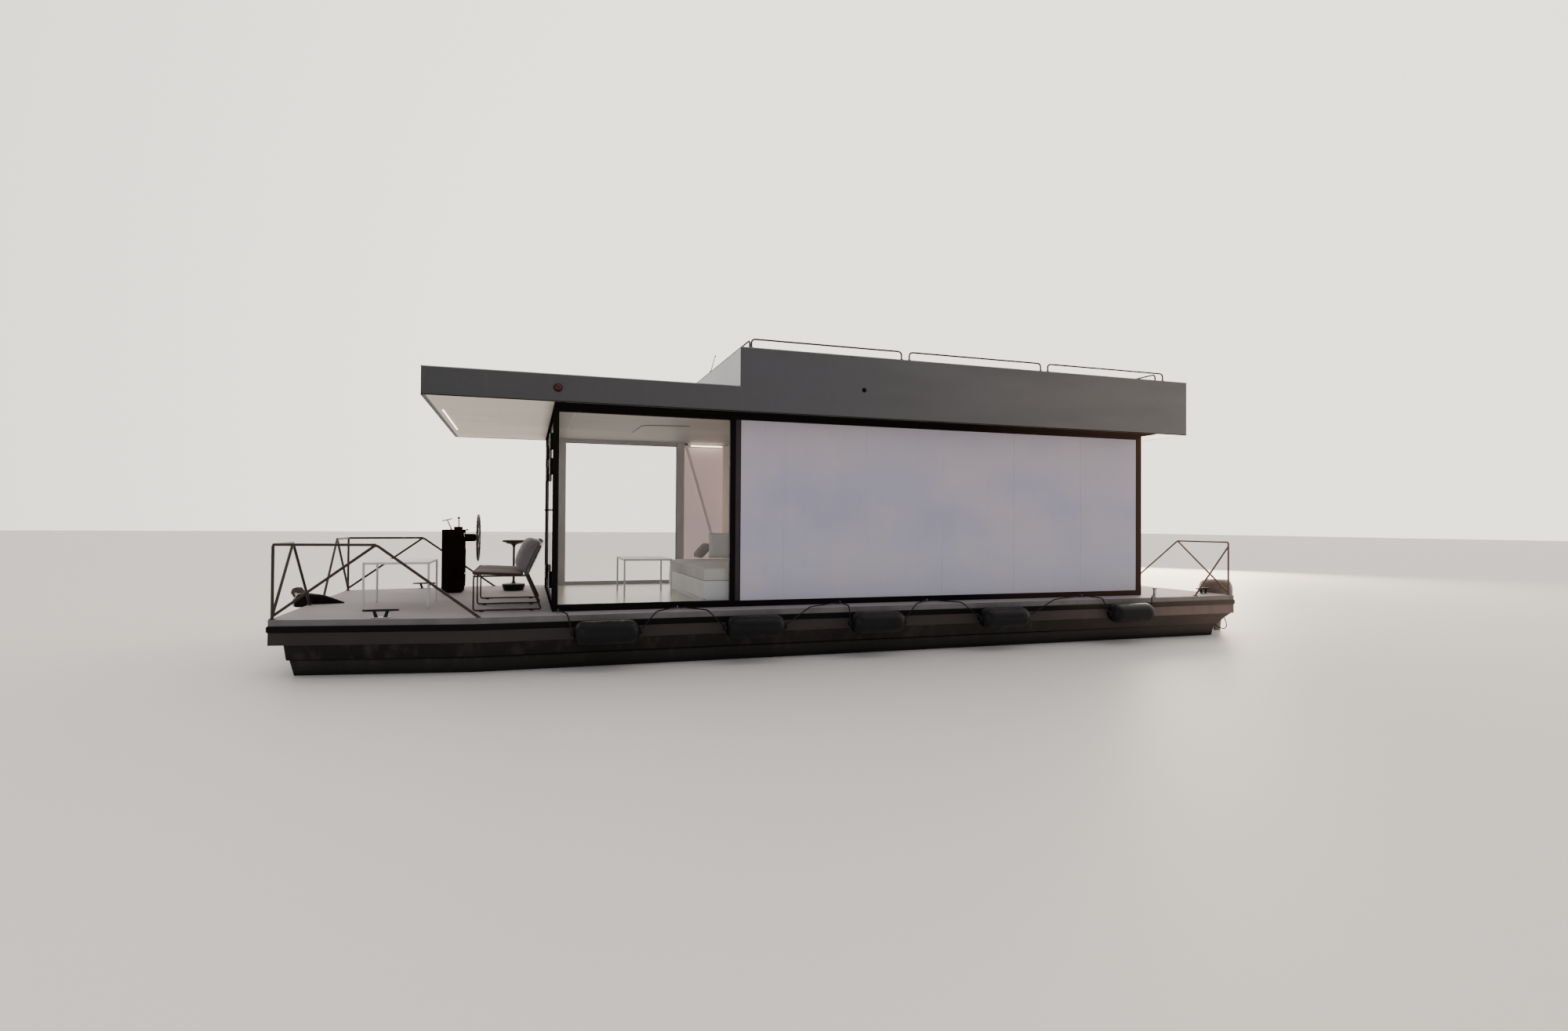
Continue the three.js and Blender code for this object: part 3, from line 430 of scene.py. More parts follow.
# Ledge shade bars: small black bars along the corners where each float's flare ends in a narrow ledge.
# They are painted shade for the dark line under the ledge. They run the length of the floats, just above
# the water, and are black like the strake.
ledge_line = [(-2.462, 1.626), (-0.75, 1.947), (8.87, 1.947)]
for name, sign in (("port", -1), ("starboard", 1)):
    bm = bmesh.new()
    tube(bm, [at(x, y * sign, -0.4) for x, y in ledge_line], 0.008, 0, 8)
    show(bm, "ledge_shade_bar_" + name, strake_rubber)

# Cleats: forged horns on two splayed legs, blacked. They stand on bright base plates, each held to the deck
# by four screws.
frame_black = weathered("frame_black", (0.009, 0.008, 0.0085), (0.015, 0.014, 0.0145), 0.42, 0, 4, 250, 0.15,
                        0.15)
for name, x, y, half in (
    ("cleat_fore_port", -1.62, -1.79, 0.165),
    ("cleat_fore_starboard", -1.62, 1.79, 0.165),
    ("cleat_aft_port", 8.84, -1.77, 0.135),
    ("cleat_aft_starboard", 8.84, 1.77, 0.135),
):
    bm = bmesh.new()
    horn = [(-half, 0.005), (-half + 0.012, 0.0095), (-half * 0.6, 0.011), (0, 0.012)]
    horn += [(-d, r) for d, r in reversed(horn[:-1])]
    tube(bm, [at(x + d, y, 0.074) for d, r in horn], [r for d, r in horn], 0, 14)
    splay = ((0.24, 0.005), (0.27, 0.018), (0.32, 0.045), (0.37, 0.072))
    for end in (-1, 1):
        leg = [at(x + end * half * reach, y, z) for reach, z in splay]
        tube(bm, leg, [0.021, 0.0165, 0.0155, 0.015], 0, 14)
    show(bm, name + "_horn", frame_black, stands_for=[name], smooth=60)
    bm = bmesh.new()
    slab(bm, at(x - half / 2, y - 0.028, 0), at(x + half / 2, y + 0.028, 0.008))
    show(bm, name + "_base", bright_steel, rounding=0.003)
    bm = bmesh.new()
    for dx in (-0.42, 0.42):
        for dy in (-0.017, 0.017):
            screw(bm, at(x + dx * half, y + dy, 0.008), 0.0055)
    show(bm, name + "_screws", bright_steel)


# Ground tackle at the stem: a cast roller in two cheeks, and a drop-shaped black cover with a strap near its
# nose.
def softened(name, finish, rounding, smooth=35):
    bm = bmesh.new()
    bm.from_mesh(nodes[name].data)
    bmesh.ops.remove_doubles(bm, verts=bm.verts, dist=0.00005)
    bmesh.ops.dissolve_limit(bm, angle_limit=0.01, verts=bm.verts, edges=bm.edges)
    return show(bm, name + "_softened", finish, bodies[name], [name], smooth, rounding)


bodies = {n: body for body, names in frame["record"]["behaviour"]["bodies"].items() for n in names}
cast_alloy = weathered("cast_alloy", (0.42, 0.41, 0.39), (0.33, 0.32, 0.3), 0.45, 0.7, 9, 320, 0.3)
worn_alloy = weathered("cast_alloy.roller", (0.11, 0.09, 0.078), (0.08, 0.066, 0.058), 0.6, 0.3, 9, 320, 0.3)
softened("anchor_roller", worn_alloy, 0.003)
bm = bmesh.new()
for sign in (-1, 1):
    spot = at(-2.775, 0.046 * sign, 0.11)
    outward = Matrix.Translation(spot) @ Matrix.Rotation(-math.pi / 2 * sign, 4, "X")
    turned(bm, [(0.014, 0), (0.014, 0.006), (0, 0.008)], outward, 12)
show(bm, "anchor_roller_pin", bright_steel)
black_plastic = weathered("black_plastic", (0.006, 0.005, 0.005), (0.012, 0.01, 0.01), 0.45, 0, 5, 240,
                          0.2, 0.03)
cover_y = -0.155
cover_line = [
    (-2.779, 0.014, 0.02, 0.045), (-2.772, 0.04, 0.0, 0.062), (-2.755, 0.066, -0.015, 0.088),
    (-2.73, 0.087, -0.027, 0.109), (-2.7, 0.098, -0.028, 0.121), (-2.66, 0.099, -0.028, 0.127),
    (-2.63, 0.094, -0.028, 0.126), (-2.6055, 0.088, -0.028, 0.123), (-2.6035, 0.088, 0.001, 0.1225),
    (-2.56, 0.078, 0.001, 0.116), (-2.5, 0.064, 0.001, 0.107), (-2.45, 0.053, 0.001, 0.094),
    (-2.4, 0.042, 0.001, 0.074), (-2.35, 0.031, 0.001, 0.052), (-2.3, 0.02, 0.001, 0.03),
    (-2.26, 0.012, 0.001, 0.013),
]


def cover_arch(half, low, high):
    for k in range(17):
        u = math.cos(math.pi * k / 16)
        v = math.sin(math.pi * k / 16)
        yield u, cover_y + math.copysign(abs(u) ** 0.8, u) * half, low + (high - low) * v ** 0.72


bm = bmesh.new()
skinned(bm, [outline(bm, [at(x, y, z) for u, y, z in cover_arch(*girth)]) for x, *girth in cover_line])
show(bm, "anchor_cover_shell", black_plastic, stands_for=["anchor_cover"], smooth=50)
bm = bmesh.new()
strap = [at(-2.715 + 0.03 * u, y, z) for u, y, z in cover_arch(0.096, -0.02, 0.123)]
edges = [outline(bm, [p + Vector((dx, 0, 0)) for p in strap], closed=False) for dx in (-0.006, 0.006)]
skinned(bm, edges, ends="open")
strap = show(bm, "anchor_cover_strap", bright_steel)
strap.modifiers.new("thick", "SOLIDIFY").thickness = 0.002

# Fenders: moulded rubber cylinders with a neck and an eye at each end. Each hangs level in two twisted ropes
# from eyes on the deck beside the cabin, and the aftmost rope goes to a bollard.
fender_rubber = weathered("fender_rubber", (0.004, 0.0038, 0.0045), (0.006, 0.0056, 0.007), 0.4, 0, 2,
                          60, 0.0, 0.215)
rope_black = weathered("rope_black", (0.012, 0.011, 0.011), (0.024, 0.022, 0.021), 0.8, 0, 20, 600, 0.5, 0.15)


def strand_skin(bm, way, radius, sides=6):
    turns = [2 * math.pi * k / sides for k in range(sides)]
    around = [Vector((-math.sin(a), math.cos(a), 0)) * radius for a in turns]
    rings = [[bm.verts.new(place @ offset) for offset in around] for place in places_along(way)]
    for near, far in zip(rings, rings[1:]):
        for k in range(sides):
            j = (k + 1) % sides
            bm.faces.new((near[k], near[j], far[j], far[k]))
    bm.faces.new(rings[0][::-1])
    bm.faces.new(rings[-1])


def rope(bm, points, bend, strand=0.0042, pitch=0.07):
    way = bent(points, bend, 8)
    fine = []
    for a, b in zip(way, way[1:]):
        count = max(1, round((b - a).length / 0.012))
        fine += [a.lerp(b, k / count) for k in range(count)]
    fine.append(way[-1])
    run = 0.0
    strands = [[], [], []]
    for i, place in enumerate(places_along(fine)):
        run += (fine[i] - fine[i - 1]).length if i else 0
        for k in range(3):
            a = 2 * math.pi * (run / pitch + k / 3)
            strands[k].append(place @ (Vector((-math.sin(a), math.cos(a), 0)) * strand * 0.92))
    for line in strands:
        strand_skin(bm, line, strand)
    return fine


def run_length(way):
    points = [Vector(p) for p in way]
    return sum((b - a).length for a, b in zip(points, points[1:]))


def round_about(middle, radius, count, start=0.0, steps=16):
    turns = [start + 2 * math.pi * k / steps for k in range(count)]
    return [middle + Vector((0, math.cos(a) * radius, math.sin(a) * radius)) for a in turns]


fender_places = (0.525, 2.11, 3.57, 5.265, 7.175)
eye_places = (0.06, 1.33, 3.28, 4.44, 6.76)
bollard_place = 7.76
fender_half = [
    (0, -0.36), (0.026, -0.36), (0.03, -0.35), (0.028, -0.335), (0.05, -0.325), (0.088, -0.305),
    (0.112, -0.27), (0.121, -0.225), (0.122, -0.16), (0.122, 0.0),
]
fender_whole = fender_half + [(r, -z) for r, z in reversed(fender_half[:-1])]
bollard = [(0.032, 0), (0.032, 0.006), (0.02, 0.014), (0.019, 0.06), (0.02, 0.1), (0.027, 0.118)]
bollard = [(0, 0)] + eased(bollard + [(0.02, 0.13)]) + [(0, 0.13)]
for name, sign in (("port", -1), ("starboard", 1)):
    fenders = bmesh.new()
    hitches = bmesh.new()
    eyes = bmesh.new()
    anchors = [at(x, 1.765 * sign, 0.024) for x in eye_places]
    for spot in anchors:
        slab(eyes, spot + Vector((-0.03, -0.03, -0.0238)), spot + Vector((0.03, 0.03, -0.018)))
        tube(eyes, round_about(spot - Vector((0, 0, 0.004)), 0.013, 12, -0.3), 0.0045, 0, 8)
        for dx in (-0.02, 0.02):
            screw(eyes, spot + Vector((dx, 0.018, -0.018)), 0.005)
    post = Matrix.Translation(at(bollard_place, 1.99 * sign, 0))
    turned(eyes, bollard, post, 20)
    show(eyes, "fender_eyes_" + name, bright_steel)
    anchors.append(at(bollard_place, 1.99 * sign, 0.045))
    for i, x in enumerate(fender_places):
        middle = at(x, 2.199 * sign, -0.17)
        lying = Matrix.Translation(middle) @ Matrix.Rotation(math.pi / 2, 4, "Y")
        turned(fenders, [fender_whole[0]] + eased(fender_whole[1:-1], 3) + [fender_whole[-1]], lying, 32)
        for d in (-0.2, 0.2):
            turned(fenders, [(0.1215, d - 0.002), (0.1225, d), (0.1215, d + 0.002)], lying, 32)
        for number, end, start in ((2 * i + 1, -1, anchors[i]), (2 * i + 2, 1, anchors[i + 1])):
            tip = middle + Vector((0.335 * end, 0, 0))
            over = Vector((start.x + (tip.x - start.x) * 0.6, 2.098 * sign, deck_top + 0.018))
            line = bmesh.new()
            way = rope(line, [start, over, tip], 0.03)
            line = show(line, "fender_rope_" + name + "_" + str(number), rope_black, smooth=80)
            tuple(start)
            run_length(way)
            for k in range(2):
                tube(hitches, round_about(tip + Vector((0.008 * k * end, 0, 0)), 0.032, 17), 0.0045, 0, 6)
    show(fenders, "fender_bodies_" + name, fender_rubber, stands_for=["fenders_" + name], smooth=50)
    show(hitches, "fender_hitches_" + name, rope_black, smooth=80)

# Helm: a black console with a door in its aft face, a dash with round gauges, twin throttle levers and the
# column that carries the wheel.
chrome = weathered("chrome_trim", (0.6, 0.6, 0.6), (0.5, 0.5, 0.5), 0.15, 1, 10, 300, 0.05)
vinyl_black = weathered("vinyl_black", (0.014, 0.01, 0.009), (0.022, 0.017, 0.015), 0.5, 0, 5, 700, 0.5, 0.05)
console_black = weathered("black_plastic.console", (0.0085, 0.0042, 0.0032), (0.012, 0.006, 0.0045),
                          0.8, 0, 5, 240, 0.1, 0.0)
helm_y = 1.2
lever_places = (1.065, 1.135)
wheel_height = 0.735
facing_aft = Matrix.Rotation(math.pi / 2, 4, "Y")
bm = bmesh.new()
levels = []
for inset, z in ((0.012, 0.0), (0.012, 0.05), (0.0, 0.052), (0.0, 0.842), (0.003, 0.845)):
    low = at(-1.33 + inset, 0.93 + inset, z)
    high = at(-1.07 - inset, 1.47 - inset, z)
    plan = ((low.x, low.y), (low.x, high.y), (high.x, high.y), (high.x, low.y))
    levels.append(outline(bm, [(x, y, low.z) for x, y in plan]))
skinned(bm, levels)
show(bm, "helm_console_body", console_black, stands_for=["helm_console"], rounding=0.002)
bm = bmesh.new()
slab(bm, at(-1.0698, 0.975, 0.1), at(-1.064, 1.425, 0.58))
slab(bm, at(-1.0698, 1.03, 0.615), at(-1.066, 1.37, 0.815))
slab(bm, at(-1.19, 1.03, 0.8448), at(-1.09, 1.17, 0.885))
slab(bm, at(-1.07, 1.17, 0.832), at(-1.02, 1.23, 0.845))
show(bm, "helm_console_panels", console_black, rounding=0.003)
bm = bmesh.new()
column = [(0.058, 0), (0.058, 0.012), (0.052, 0.018), (0.052, 0.136), (0.046, 0.1445)]
turned(bm, column, Matrix.Translation(at(-1.0698, helm_y, wheel_height)) @ facing_aft, 32)
show(bm, "helm_column", console_black)
bm = bmesh.new()
dial = [(0.03, 0), (0.03, 0.005), (0.026, 0.008), (0.025, 0.004), (0, 0.004)]
for y in (1.075, 1.325):
    turned(bm, dial, Matrix.Translation(at(-1.066, y, 0.77)) @ facing_aft, 28)
knob = [(0.011, 0), (0.011, 0.005), (0.006, 0.008), (0, 0.008)]
turned(bm, knob, Matrix.Translation(at(-1.064, helm_y, 0.246)) @ facing_aft, 16)
button = [(0.014, 0), (0.014, 0.004), (0.008, 0.01), (0, 0.011)]
turned(bm, button, Matrix.Translation(at(-1.035, helm_y, 0.845)), 16)
for y in lever_places:
    tube(bm, [at(-1.13, y, 0.882), at(-1.131, y, 0.9), at(-1.135, y, 0.995)], [0.011, 0.009, 0.0085], 0, 12)
tube(bm, [at(-1.235, 1.23, 0.842), at(-1.25, 1.23, 0.88), at(-1.29, 1.23, 0.976)], 0.01, 0, 12)
show(bm, "helm_fittings", chrome)
bm = bmesh.new()
grip = [(0.004, -0.0215), (0.011, -0.02), (0.014, -0.014), (0.014, 0.014), (0.011, 0.02), (0.004, 0.0215)]
for y in lever_places:
    across = Matrix.Translation(at(-1.135, y, 1.005)) @ Matrix.Rotation(math.pi / 2, 4, "X")
    turned(bm, [(0, -0.022)] + eased(grip) + [(0, 0.022)], across, 20)
show(bm, "helm_lever_knobs", vinyl_black)
bm = bmesh.new()
screen = [(-1.35, 0.958), (-1.226, 0.988), (-1.229, 1.0), (-1.353, 0.97)]
skinned(bm, [outline(bm, [at(x, y, z) for x, z in screen]) for y in (1.13, 1.33)])
show(bm, "helm_display", bright_steel, rounding=0.002)

# Steering wheel: a thin rim bound in dark brown hide with finger waves, three flat spokes and a round hub
# cap, fixed to the shaft that comes out of the column.
wheel_leather = weathered("black_plastic.wheel", (0.03, 0.019, 0.013), (0.045, 0.03, 0.022), 0.4, 0, 9,
                          500, 0.4, 0.3)
hub = at(-0.889, helm_y, wheel_height)
shaft = Vector((1, 0, 0))
bm = bmesh.new()
rim = []
for k in range(96):
    a = 2 * math.pi * k / 96
    out = Vector((0, math.cos(a), math.sin(a)))
    turn = Matrix((-shaft, out, out.cross(shaft))).transposed().to_4x4()
    rim.append(hoop(bm, Matrix.Translation(hub + out * 0.31) @ turn, 0.0145 + 0.0012 * math.cos(24 * a), 12))
skinned(bm, rim, ends="joined")
show(bm, "helm_wheel_rim", wheel_leather, "helm_wheel", ["helm_wheel"], smooth=60)
bm = bmesh.new()
for k in range(3):
    a = math.pi / 2 + k * 2 * math.pi / 3
    out = Vector((0, math.cos(a), math.sin(a)))
    across = Vector((0, -out.z, out.y))
    spoke = []
    for reach, wide, deep, bow in (
        (0.02, 0.02, 0.006, 0.008),
        (0.09, 0.014, 0.005, 0.006),
        (0.2, 0.01, 0.004, 0.002),
        (0.305, 0.013, 0.005, 0),
    ):
        middle = hub + out * reach + shaft * bow
        flat = ((-wide, -deep), (wide, -deep), (wide, deep), (-wide, deep))
        spoke.append(outline(bm, [middle + across * u + shaft * v for u, v in flat]))
    skinned(bm, spoke)
show(bm, "helm_wheel_spokes", frame_black, "helm_wheel", rounding=0.002)
bm = bmesh.new()
cap = [(0, -0.0356), (0.036, -0.0356), (0.04, -0.03), (0.04, 0.006), (0.034, 0.014), (0.02, 0.019), (0, 0.02)]
turned(bm, cap, Matrix.Translation(hub) @ facing_aft, 32)
show(bm, "helm_wheel_hub", frame_black, "helm_wheel")

# Stool: a thin disc seat on a stepped cone and a thin stem, which rises from a bowl-shaped foot with a flat
# top. The seat and the stem are brown, and the foot is nearly black.
stool_brown, tree, shader = new_finish("black_plastic.stool", (0.045, 0.028, 0.022), 0.45, shine=0.2)
low_down = ramp(tree, along(tree, "Z"), deck_top + 0.1, deck_top + 0.14)
coloured(tree, shader, mixed(tree, low_down, (0.014, 0.0105, 0.009), (0.045, 0.028, 0.022)))
bumped(tree, shader, noise(tree, 300), 0.15, 0.0005)
bm = bmesh.new()
spot = Matrix.Translation(at(-0.425, helm_y, 0))
foot = [(0, 0.0005), (0.126, 0.0005), (0.133, 0.008), (0.143, 0.034), (0.15, 0.06), (0.155, 0.078)]
foot += [(0.1535, 0.088), (0.147, 0.0925), (0.06, 0.1), (0.034, 0.106), (0.02, 0.12), (0.0165, 0.14)]
stem = [(0.0155, 0.2), (0.015, 0.6), (0.0235, 0.627), (0.045, 0.641), (0.07, 0.65), (0.104, 0.655)]
turned(bm, foot + stem + [(0.107, 0.667), (0, 0.668)], spot, 44)
show(bm, "helm_stool_stem", stool_brown, stands_for=["helm_stool"], smooth=40)
bm = bmesh.new()
pad = [(0.1, 0.6655), (0.148, 0.674), (0.155, 0.688), (0.1505, 0.7), (0.13, 0.7018), (0.09, 0.697)]
turned(bm, [(0, 0.6655)] + eased(pad + [(0.03, 0.694)], 3) + [(0, 0.694)], spot, 44)
show(bm, "helm_stool_seat", stool_brown, smooth=50)

# Bench: three sleds of thin dark rod under a low lounge seat, joined by cross rods. The sleds stand on small
# pads, and each rear leg rises past the seat as the back's frame.
sled_places = (-1.5, -0.79, -0.08)
seat_rod = 0.376
sled = ((-0.262, seat_rod), (-0.79, seat_rod), (-0.79, 0.015), (-0.105, 0.015), (-0.262, 0.374))
bm = bmesh.new()
for y in sled_places:
    tube(bm, [at(x, y, z) for x, z in sled], 0.009, 0.03, 12)
    tube(bm, [at(-0.258, y, 0.372), at(-0.114, y, 0.692)], 0.009, 0, 12)
for x, z in ((-0.79, seat_rod), (-0.258, seat_rod), (-0.114, 0.689)):
    tube(bm, [at(x, -1.504, z), at(x, -0.076, z)], 0.0085, 0, 12)
show(bm, "bench_frame_rods", rail_paint, stands_for=["bench_frame"])
bm = bmesh.new()
for y in sled_places:
    for x in (-0.71, -0.205):
        slab(bm, at(x - 0.02, y - 0.012, 0.0002), at(x + 0.02, y + 0.012, 0.008))
show(bm, "bench_frame_pads", rub_rubber, rounding=0.002)

# Bench seat and cushions: two thin seat pads of grey-brown cloth with dark brown sides and a fringe below,
# and two loose back cushions of grey cloth, flat behind and full in front, with pointed corners and a fringe.
def waves(tree, scale, direction, distortion=0.0):
    inputs = {"Vector": object_place(tree), "Scale": scale, "Distortion": distortion}
    return node(tree, "TexWave", inputs, bands_direction=direction).outputs["Fac"]


def weave(tree, scale, warp_direction, weft_direction, distortion):
    warp = waves(tree, scale, warp_direction, distortion)
    weft = waves(tree, scale, weft_direction, distortion)
    return node(tree, "Math", {0: warp, 1: weft}, operation="MULTIPLY").outputs[0]


grey_fabric, tree, shader = new_finish("grey_fabric", (0.11, 0.1, 0.105), 0.92)
threads = weave(tree, 260.0, "Y", "Z", 1.0)
faded = mixed(tree, ramp(tree, noise(tree, 5), 0.3, 0.7), (0.245, 0.213, 0.222), (0.193, 0.171, 0.178))
between = mixed(tree, 0.5, faded, (0.065, 0.058, 0.062))
coloured(tree, shader, mixed(tree, ramp(tree, threads, 0.1, 0.8), between, faded))
shader.inputs["Sheen Weight"].default_value = 0.35
bumped(tree, shader, threads, 0.5, 0.0012)
grey_fabric_seat, tree, shader = new_finish("grey_fabric.seat", (0.2, 0.165, 0.155), 0.9)
warp = waves(tree, 120.0, "X", 1.0)
topside = mixed(tree, ramp(tree, warp, 0.1, 0.8), (0.15, 0.122, 0.118), (0.2, 0.165, 0.158))
upwards = ramp(tree, facing_share(tree, "Z"), 0.55, 0.85)
coloured(tree, shader, mixed(tree, upwards, (0.045, 0.03, 0.024), topside))
bumped(tree, shader, warp, 0.3, 0.001)


def pillow(name, finish, place, size, cap, seconds=20, corner=0.0, belly=0.5):
    wide, tall, thick = size
    bm = bmesh.new()
    steps = 14
    sides = [[], []]
    seam = thick * (0.5 - belly)
    for face, reach in ((0, -thick * (1 - belly)), (1, thick * belly)):
        for i in range(steps + 1):
            row = []
            for j in range(steps + 1):
                u = 2 * i / steps - 1
                v = 2 * j / steps - 1
                crown = ((1 - u ** 4) * (1 - v ** 4)) ** 0.45
                x = u * wide / 2 * (1 - corner * (1 - v * v) * abs(u))
                y = v * tall / 2 * (1 - corner * (1 - u * u) * abs(v))
                row.append(bm.verts.new(place @ Vector((x, y, seam + reach * crown))))
            sides[face].append(row)
    for face in sides:
        for i in range(steps):
            for j in range(steps):
                bm.faces.new((face[i][j], face[i + 1][j], face[i + 1][j + 1], face[i][j + 1]))
    bmesh.ops.remove_doubles(bm, verts=bm.verts, dist=0.0004)
    made = show(bm, name, finish, None, smooth=70)
    scene = bpy.context.scene
    scene.frame_set(1)
    remesh = made.modifiers.new("even", "REMESH")
    remesh.mode = "VOXEL"
    remesh.voxel_size = 0.0075
    bpy.context.view_layer.objects.active = made
    bpy.ops.object.modifier_apply(modifier="even")
    rest = [v.co.copy() for v in made.data.vertices]
    cloth = made.modifiers.new("fill", "CLOTH")
    cloth.settings.use_pressure = True
    cloth.settings.uniform_pressure_force = 4
    cloth.settings.effector_weights.gravity = 0
    cloth.settings.quality = 5
    for frame_number in range(1, seconds + 1):
        scene.frame_set(frame_number)
    shaped = made.evaluated_get(bpy.context.evaluated_depsgraph_get()).data
    moved = [v.co.copy() for v in shaped.vertices]
    made.modifiers.remove(cloth)
    for vertex, before, after in zip(made.data.vertices, rest, moved):
        step = after - before
        if step.length > cap:
            step *= cap / step.length
        vertex.co = before + step
    scene.frame_set(1)
    made.data.shade_smooth()
    smoother = made.modifiers.new("smooth", "SUBSURF")
    smoother.levels = 1
    smoother.render_levels = 1
    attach(made, "hull")
    return made


pad_middle = (-0.54, 0.4045)
pad_slope = 0.05
for name, y in (("port", -1.143), ("starboard", -0.437)):
    lay = Matrix.Translation(at(pad_middle[0], y, pad_middle[1])) @ Matrix.Rotation(pad_slope, 4, "Y")
    seat_pad = pillow("bench_seat_" + name, grey_fabric_seat, lay, (0.522, 0.676, 0.03), 0.002)
    if name == "port":
        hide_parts("bench_seat")
bm = bmesh.new()
for outer, inner in ((-1.486, -1.478), (-0.102, -0.094)):
    slab(bm, at(-0.801, outer, 0.3825), at(-0.29, inner, 0.4105))
for vertex in bm.verts:
    vertex.co.z -= pad_slope * (vertex.co.x - fore_wall - pad_middle[0])
slab(bm, at(-0.803, -1.486, 0.3955), at(-0.795, -0.094, 0.4235))
show(bm, "bench_seat_sides", grey_fabric_seat, rounding=0.003)
bm = bmesh.new()
for y in (-1.4865, -0.0935):
    for k in range(26):
        x = -0.7 + 0.0155 * k
        z = 0.3865 - pad_slope * (x - pad_middle[0])
        tube(bm, [at(x, y, z), at(x + 0.006, y, z - 0.013), at(x + 0.014, y, z)], 0.0018, 0.004, 5)
show(bm, "bench_seat_fringe", grey_fabric_seat, smooth=80)
lean = math.atan2(0.689 - seat_rod, -0.114 + 0.258)
tilt = Matrix(((0, math.cos(lean), -math.sin(lean)), (1, 0, 0), (0, math.sin(lean), math.cos(lean)))).to_4x4()
bead = [(0, -0.005), (0.0042, -0.0015), (0.0042, 0.0015), (0, 0.005)]
for name in ("port", "starboard"):
    low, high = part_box("bench_cushion_" + name)
    place = Matrix.Translation((low + high) / 2) @ tilt
    cushion = pillow("bench_back_" + name, grey_fabric, place, (0.605, 0.405, 0.158), 0.012, corner=0.07,
                     belly=0.88)
    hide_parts("bench_cushion_" + name)
    fringe = bmesh.new()
    random.seed(7)
    roots = []
    for edge in (-1, 1):
        for k in range(40):
            u = -0.95 + 1.9 * k / 39
            roots.append((u * 0.3, edge * 0.2 * (1 - 0.07 * (1 - u * u)), 0, edge))
        for k in range(27):
            v = -0.95 + 1.9 * k / 26
            roots.append((edge * 0.3 * (1 - 0.07 * (1 - v * v)), v * 0.2, edge, 0))
    for x, y, dx, dy in roots:
        root = place @ Vector((x, y, -0.06))
        away = 0.108 if dx else 0.09
        end = place @ Vector((x + dx * 0.008, y + dy * 0.009 + random.uniform(-0.004, 0.004), -away))
        tube(fringe, [root, root.lerp(end, 0.5), end], [0.0016, 0.002, 0.0012], 0, 5)
        turned(fringe, bead, Matrix.Translation(end), 6)
    show(fringe, "bench_fringe_" + name, grey_fabric, smooth=80)

# Tables and daybed: two low tables of white powder-coated sheet with square legs, and a white daybed with a
# piped linen mattress and two loose cushions.
white_paint = weathered("white_paint", (0.76, 0.76, 0.79), (0.68, 0.68, 0.71), 0.4, 0, 3, 220, 0.12)
linen_fabric, tree, shader = new_finish("linen_fabric", (0.66, 0.64, 0.6), 0.9)
threads = weave(tree, 220.0, "X", "Y", 1.4)
cloudy = ramp(tree, noise(tree, 4), 0.3, 0.7)
coloured(tree, shader, mixed(tree, cloudy, (0.7, 0.68, 0.64), (0.62, 0.6, 0.57)))
bumped(tree, shader, threads, 0.45, 0.0012)
for name in ("deck_table", "coffee_table", "daybed_base"):
    softened(name, white_paint, 0.004)
low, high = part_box("daybed_mattress")
crown = 0.012
side_height = high.z - low.z - crown
bm = bmesh.new()
levels = []
waists = ((0.012, 0), (0.002, 0.06), (0, 0.12), (0.005, 0.5), (0, 0.86), (0.002, 0.93), (0.014, 1))
for inset, share in waists:
    fore, aft = low.x + inset, high.x - inset
    port, starboard = low.y + inset, high.y - inset
    plan = ((fore, port), (aft, port), (aft, starboard), (fore, starboard))
    levels.append(outline(bm, [(x, y, low.z + side_height * share) for x, y in plan]))
skinned(bm, levels)
bmesh.ops.subdivide_edges(bm, edges=levels[-1], cuts=11, use_grid_fill=True)
for vertex in bm.verts:
    if vertex.co.z > high.z - crown - 0.0005:
        u = (vertex.co.x - low.x) / (high.x - low.x)
        v = (vertex.co.y - low.y) / (high.y - low.y)
        vertex.co.z += 0.011 * min(1, 16 * u * (1 - u)) * min(1, 24 * v * (1 - v))
mattress = show(bm, "daybed_mattress_pad", linen_fabric, stands_for=["daybed_mattress"], smooth=60,
                rounding=0.012)
bm = bmesh.new()
plan = ((low.x, low.y), (high.x, low.y), (high.x, high.y), (low.x, high.y))
for share in (0.1, 0.9):
    piping = [Vector((x, y, low.z + side_height * share)) for x, y in plan]
    start = piping[0].lerp(piping[1], 0.5)
    tube(bm, bent([start] + piping[1:] + [piping[0], start], 0.03), 0.004, 0, 8)
show(bm, "daybed_piping", linen_fabric)
low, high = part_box("daybed_cushion_dark")
place = Matrix.Translation((low + high) / 2) @ Matrix.Rotation(-0.8, 4, "Y")
brown_cloth, tree, shader = new_finish("grey_fabric.brown", (0.22, 0.165, 0.15), 0.92)
bumped(tree, shader, noise(tree, 600), 0.5, 0.001)
cushion = pillow("daybed_cushion_brown", brown_cloth, place, (0.285, 0.37, 0.09), 0.01, corner=0.05)
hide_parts("daybed_cushion_dark")
low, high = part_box("daybed_cushion_light")
place = Matrix.Translation((low + high) / 2) @ Matrix.Rotation(math.pi / 2 - 0.06, 4, "X")
cushion = pillow("daybed_cushion_pale", linen_fabric, place, (0.335, 0.385, 0.1), 0.01, corner=0.05)
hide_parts("daybed_cushion_light")

